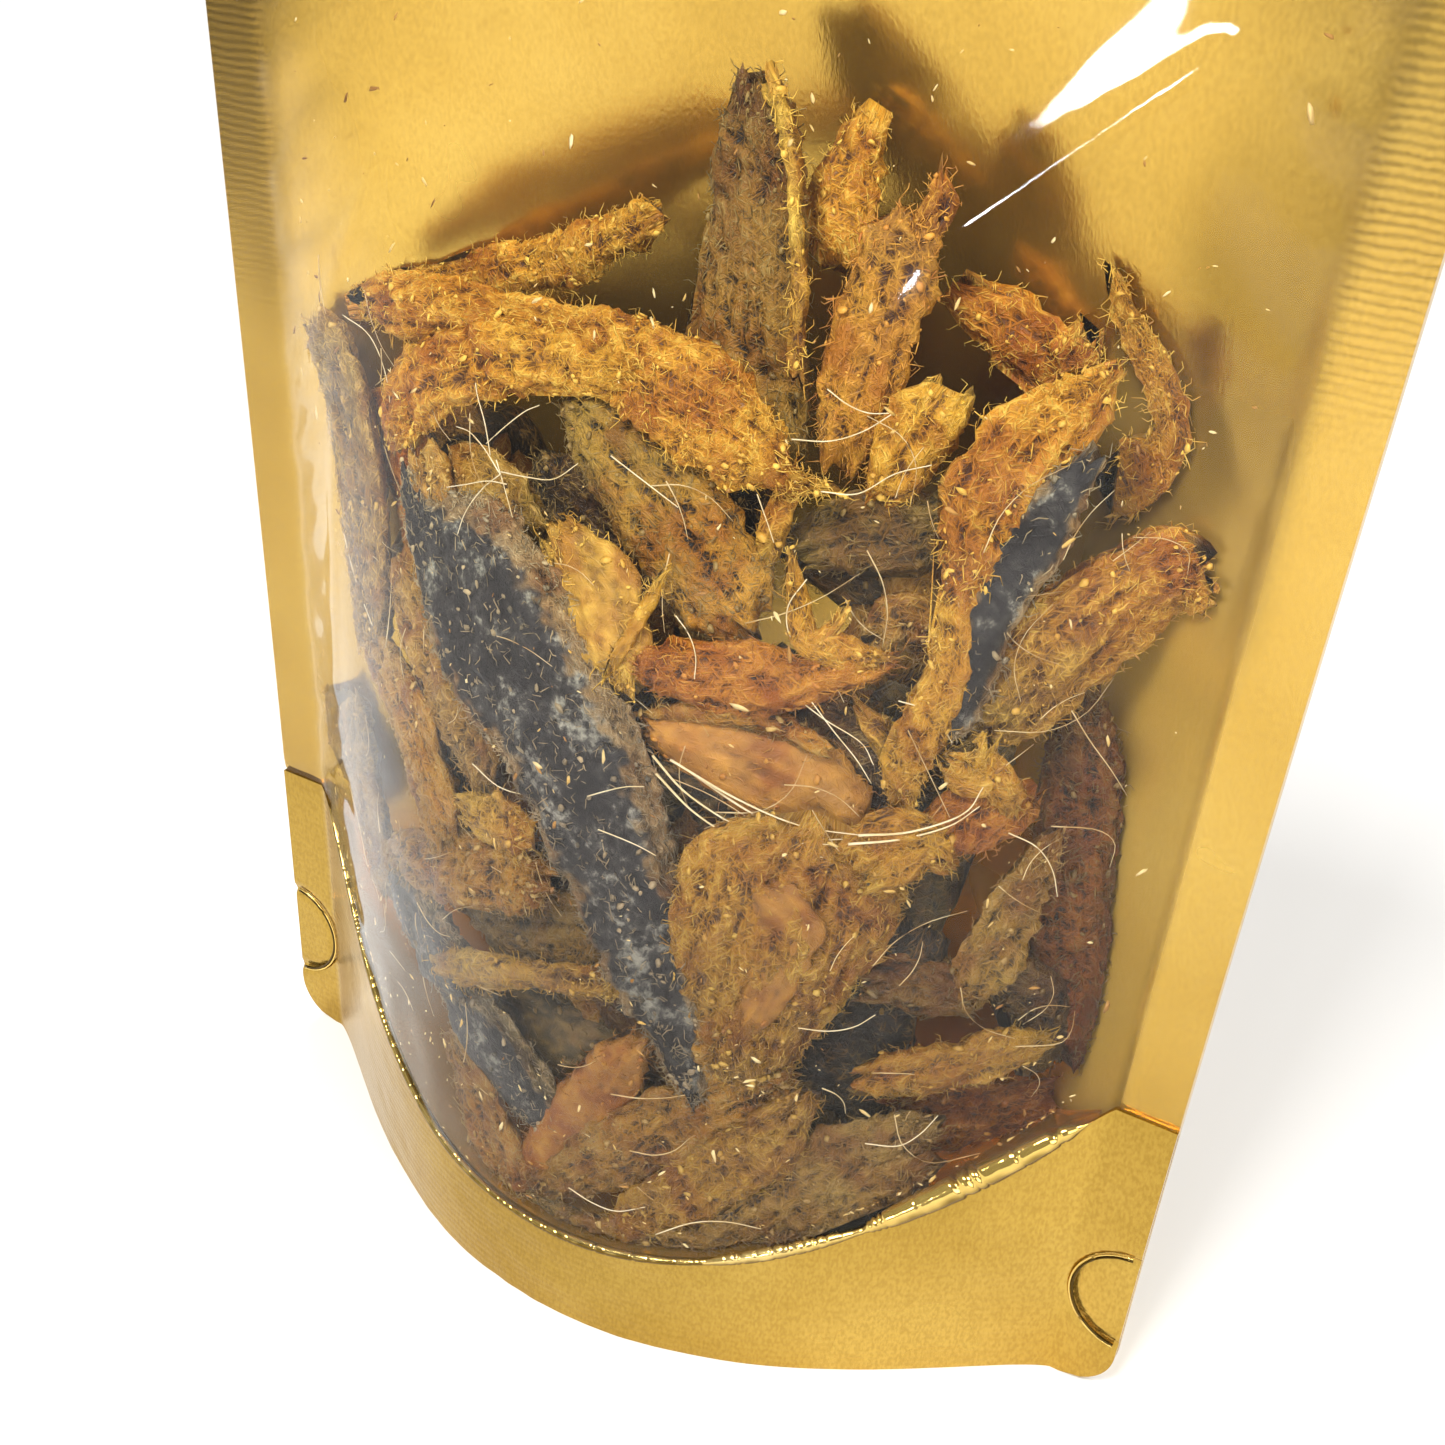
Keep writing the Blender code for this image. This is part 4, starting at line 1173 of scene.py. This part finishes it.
class POUCH_OT_fish(bpy.types.Operator):
    """Make the strips of dry fish, one piece for each finish, and the fuzz that stands off them"""
    bl_idname = "pouch.fish"
    bl_label = "Fish strips"

    def execute(self, context):
        forms = {finish: bmesh.new() for finish in FINISHES}
        spots = {finish: [] for finish in FINISHES}
        for number, (strip, behind) in enumerate(strip_plan()):
            finish = KINDS[strip[0]][0]
            spacing = SPACING_BEHIND if behind else SPACING
            found = fish_strip(forms[finish], strip, spacing, number + 1)
            if not behind:
                spots[finish] += [spot for spot in found if spot[5] > 0 or spot[4] > 0.9]
        for finish, form in forms.items():
            if not form.verts:
                raise RuntimeError("no strip has the finish " + finish)
            bmesh.ops.recalc_face_normals(form, faces=form.faces)
            obj = finish_form("fish_" + finish, form, 0)
            obj.data.materials.append(dry_fish("dry_smoked_fish_" + finish, *FINISHES[finish]))
            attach(obj, "root")
        every_spot = sum(len(found) for found in spots.values())
        for finish, found in spots.items():
            share = len(found) / every_spot
            self.make_fibres(finish, found, int(context.scene.pouch_fish.fuzz * share))
            self.make_flakes(finish, found, int(context.scene.pouch_fish.flakes * share))
        return {"FINISHED"}

    def make_fibres(self, finish, spots, amount):
        """Short curled fibres matted on the strips, standing out at torn edges and ends.

        Real ones are finer than the render can show, so they are drawn 0.1 to 0.2 mm thick.
        """
        draw = random.Random(amount)
        threads = []
        while len(threads) < amount:
            place, way, broad, out, edge, _, to_end, bare = spots[draw.randrange(len(spots))]
            loose = max(smooth(0.8, 1.0, edge), to_end)
            if draw.random() > (0.5 + 0.5 * loose) * (1 - 0.6 * bare):
                continue
            length = draw.uniform(0.5, 1.7) * MM
            turn = draw.gauss(0, 0.9)
            lean = (way * math.cos(turn) + broad * math.sin(turn)) * draw.choice((-1, 1)) \
                + out * draw.uniform(-0.1, 0.3 + 0.15 * loose)
            start = place - out * 0.05 * MM
            tip = start + lean.normalized() * length
            middle = (start + tip) / 2 + out * draw.uniform(0.05, 0.3) * MM \
                + (broad * draw.uniform(-0.4, 0.4) + way * draw.uniform(-0.4, 0.4)) * length
            for point in (middle, tip):
                point.y = max(point.y, film_front(point.x, point.z) + 0.3 * MM)
            threads.append(([start, middle, tip], draw.uniform(0.05, 0.095) * MM, 0.03 * MM))
        obj = many_threads("fibres_" + finish, threads, 2, 3)
        obj.data.materials.append(thread_material(
            "torn_fibre_" + finish, FIBRE_SHADES[finish], FINISHES[finish][1], 0.5, True))
        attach(obj, "root")

    def make_flakes(self, finish, spots, amount):
        """Angular crumbs and flakes of flesh that lie on the strips."""
        draw = random.Random(amount + 7)
        flakes = []
        for _ in range(amount):
            place, _, _, out, _, _, _, _ = spots[draw.randrange(len(spots))]
            size = (0.13 + 0.3 * draw.random() ** 2) * MM
            turn = out.to_track_quat("Z", "Y").to_matrix() \
                @ Matrix.Rotation(draw.uniform(0, 6.3), 3, "Z") \
                @ Matrix.Rotation(draw.uniform(-0.6, 0.6), 3, "X")
            sizes = (size * draw.uniform(1.0, 1.9), size, size * 0.5)
            flakes.append((place + out * 0.1 * MM, sizes, turn))
        obj = many_crumbs("flakes_" + finish, flakes)
        obj.data.materials.append(thread_material(
            "fish_flake_" + finish, FLAKE_SHADES[finish], FINISHES[finish][1], 0.55, True))
        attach(obj, "root")


class POUCH_OT_bones(bpy.types.Operator):
    """Make the long thin bones and the loose hairs that cross the strips"""
    bl_idname = "pouch.bones"
    bl_label = "Bones and hairs"

    def execute(self, context):
        threads = []
        draw = random.Random(17)
        for number, (depth, *way) in enumerate(BONES):
            in_fan = number < FAN_BONES
            stray = 0.2 if in_fan else 0.35
            aside = 0.0 if in_fan else draw.uniform(-2.6, 2.6)
            points = [on_film((x + aside + draw.uniform(-stray, stray)) * MM,
                              (z - 0.7 * aside + draw.uniform(-stray, stray)) * MM, depth * MM)
                      for x, z in way]
            if not in_fan:
                reach = draw.uniform(0.5, 1.0)
                points = [along_way(points, reach * i / 3) for i in range(4)]
            threads.append((points, (0.14 if in_fan else 0.07) * MM, 0.05 * MM))
        bones = many_threads("rib_bones", threads, 18, 6)
        bones.data.materials.append(thread_material("fish_bone", "#D8C08C", "#F2E4C0", 0.4))
        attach(bones, "root")

        draw = random.Random(23)
        threads = []
        for _ in range(context.scene.pouch_fish.hairs):
            z = draw.uniform(20, 112)
            reach = chamber_half_width(z * MM) / MM - 5
            x = draw.uniform(-reach, reach)
            z = max(z, seal_line(x / reach) / MM + 4)
            turn = draw.uniform(0, math.pi)
            length = draw.uniform(3, 12)
            bow = draw.uniform(-0.22, 0.22) * length
            depth = draw.uniform(1.6, 4.0)
            points = []
            for step, aside in ((-0.5, 0.0), (-0.17, bow), (0.17, bow), (0.5, 0.0)):
                px = x + math.sin(turn) * length * step + math.cos(turn) * aside
                pz = z + math.cos(turn) * length * step - math.sin(turn) * aside
                px = min(max(px, -reach), reach)
                pz = max(pz, seal_line(px / (reach + 5)) / MM + 2.5)
                points.append(on_film(px * MM, pz * MM, depth * MM))
            threads.append((points, draw.uniform(0.045, 0.08) * MM, 0.03 * MM))
        hairs = many_threads("hair_bones", threads, 10, 4)
        hairs.data.materials.append(thread_material("hair_bone", "#B8935A", "#E8D2A0", 0.45))
        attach(hairs, "root")
        return {"FINISHED"}


class POUCH_OT_crumbs(bpy.types.Operator):
    """Scatter the crumbs that cling to the inside of the clear film"""
    bl_idname = "pouch.crumbs"
    bl_label = "Crumbs"

    def execute(self, context):
        draw = random.Random(31)
        groups = {"pale": [], "brown": []}
        for number in range(context.scene.pouch_fish.crumbs):
            z = 16 + 136 * draw.random() ** 1.5
            reach = chamber_half_width(z * MM) / MM - 3
            x = draw.uniform(-reach, reach)
            z = max(z, seal_line(x / reach) / MM + 2)
            size = 0.06 + 0.2 * draw.random() ** 3
            long = draw.uniform(1.4, 4.5)
            out = outward(x * MM, z * MM)
            place = Vector((x * MM, film_front(x * MM, z * MM), z * MM)) - out * 0.3 * MM
            turn = out.to_track_quat("Z", "Y").to_matrix() \
                @ Matrix.Rotation(draw.uniform(0, 6.3), 3, "Z")
            sizes = (size * long * MM, size * MM, 0.06 * MM)
            groups["pale" if number % 3 else "brown"].append((place, sizes, turn))
        for name, dark, light in (("pale", "#D2AA58", "#F0DCA4"), ("brown", "#80521C", "#BC8A40")):
            obj = many_crumbs("clinging_crumbs_" + name, groups[name])
            obj.data.materials.append(thread_material("dry_fish_crumb_" + name, dark, light, 0.6))
            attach(obj, "root")
        return {"FINISHED"}


class POUCH_OT_stage(bpy.types.Operator):
    """Set the pale floor, the studio lights and the camera"""
    bl_idname = "pouch.stage"
    bl_label = "Stage"

    def execute(self, context):
        scene = context.scene
        settings = scene.pouch_stage
        form = bmesh.new()
        bmesh.ops.create_grid(form, x_segments=2, y_segments=2, size=2.5)
        floor = finish_form("pale_floor", form, 0)
        material = new_material("matt_white_paper_sweep")
        shader = node(material.node_tree, "ShaderNodeBsdfPrincipled",
                      Base_Color=linear("#F4F3F1"), Roughness=0.85)
        node(material.node_tree, "ShaderNodeOutputMaterial", Surface=shader.outputs[0])
        floor.data.materials.append(material)

        world = bpy.data.worlds.new("soft_room")
        scene.world = world
        world.use_nodes = True
        background = world.node_tree.nodes["Background"]
        background.inputs["Color"].default_value = linear("#F8F7F5")
        background.inputs["Strength"].default_value = 0.23

        # Each light: its place and its size in metres, and its power in watts
        aim = Vector((0, 0, 80 * MM))
        for name, place, size, power in (
                ("key_softbox", (-0.06, -0.50, 0.75), 0.26, 7.8),
                ("fill_softbox", (0.65, -0.45, 0.40), 0.5, 3.2),
                ("front_lamp", (0.118, -1.48, 0.378), 0.075, 2.2),
                ("back_softbox", (-0.6, 1.4, 1.3), 1.2, 32.0)):
            light = bpy.data.lights.new(name, "AREA")
            light.shape = "SQUARE"
            light.size = size
            light.energy = power
            lamp = bpy.data.objects.new(name, light)
            lamp.location = place
            lamp.rotation_euler = (aim - Vector(place)).to_track_quat("-Z", "Y").to_euler()
            scene.collection.objects.link(lamp)

        a, e, roll = settings.azimuth, settings.elevation, settings.roll
        ahead = Vector((-math.sin(a) * math.cos(e), math.cos(a) * math.cos(e), -math.sin(e)))
        right = ahead.cross(Vector((0, 0, 1))).normalized()
        up = right.cross(ahead)
        leaned = Matrix((right, up, -ahead)).transposed() @ Matrix.Rotation(roll, 3, "Z")
        camera = bpy.data.objects.new("camera", bpy.data.cameras.new("camera"))
        camera.data.sensor_width = 36
        camera.data.lens = settings.lens
        camera.data.clip_start = 0.01
        camera.matrix_world = Matrix.Translation(Vector(settings.place)) @ leaned.to_4x4()
        scene.collection.objects.link(camera)
        scene.camera = camera
        scene.view_settings.view_transform = "Standard"
        return {"FINISHED"}


OPERATORS = (POUCH_OT_gold_back, POUCH_OT_gold_foot, POUCH_OT_gusset, POUCH_OT_clear_front,
             POUCH_OT_fish, POUCH_OT_bones, POUCH_OT_crumbs, POUCH_OT_stage)


class POUCH_PT_panel(bpy.types.Panel):
    """The settings and the operators, in the sidebar"""
    bl_idname = "POUCH_PT_panel"
    bl_label = "Smoked bonga pouch"
    bl_space_type = "VIEW_3D"
    bl_region_type = "UI"
    bl_category = "Pouch"

    def draw(self, context):
        for group in (context.scene.pouch_film, context.scene.pouch_fish, context.scene.pouch_stage):
            box = self.layout.box()
            for name in group.bl_rna.properties.keys():
                if name not in ("rna_type", "name"):
                    box.prop(group, name)
        for operator in OPERATORS:
            self.layout.operator(operator.bl_idname)


CLASSES = (POUCH_PG_film, POUCH_PG_fish, POUCH_PG_stage, *OPERATORS, POUCH_PT_panel)


def register():
    """Register the classes and give the scene its settings."""
    for item in CLASSES:
        bpy.utils.register_class(item)
    bpy.types.Scene.pouch_film = bpy.props.PointerProperty(type=POUCH_PG_film)
    bpy.types.Scene.pouch_fish = bpy.props.PointerProperty(type=POUCH_PG_fish)
    bpy.types.Scene.pouch_stage = bpy.props.PointerProperty(type=POUCH_PG_stage)


def unregister():
    """Undo register."""
    del bpy.types.Scene.pouch_film
    del bpy.types.Scene.pouch_fish
    del bpy.types.Scene.pouch_stage
    for item in reversed(CLASSES):
        bpy.utils.unregister_class(item)


def main():
    """Make every piece and the stage."""
    register()
    bpy.ops.pouch.gold_back()
    bpy.ops.pouch.gold_foot()
    bpy.ops.pouch.gusset()
    bpy.ops.pouch.clear_front()
    bpy.ops.pouch.fish()
    bpy.ops.pouch.bones()
    bpy.ops.pouch.crumbs()
    bpy.ops.pouch.stage()
    bpy.context.view_layer.update()


if __name__ == "__main__":
    main()
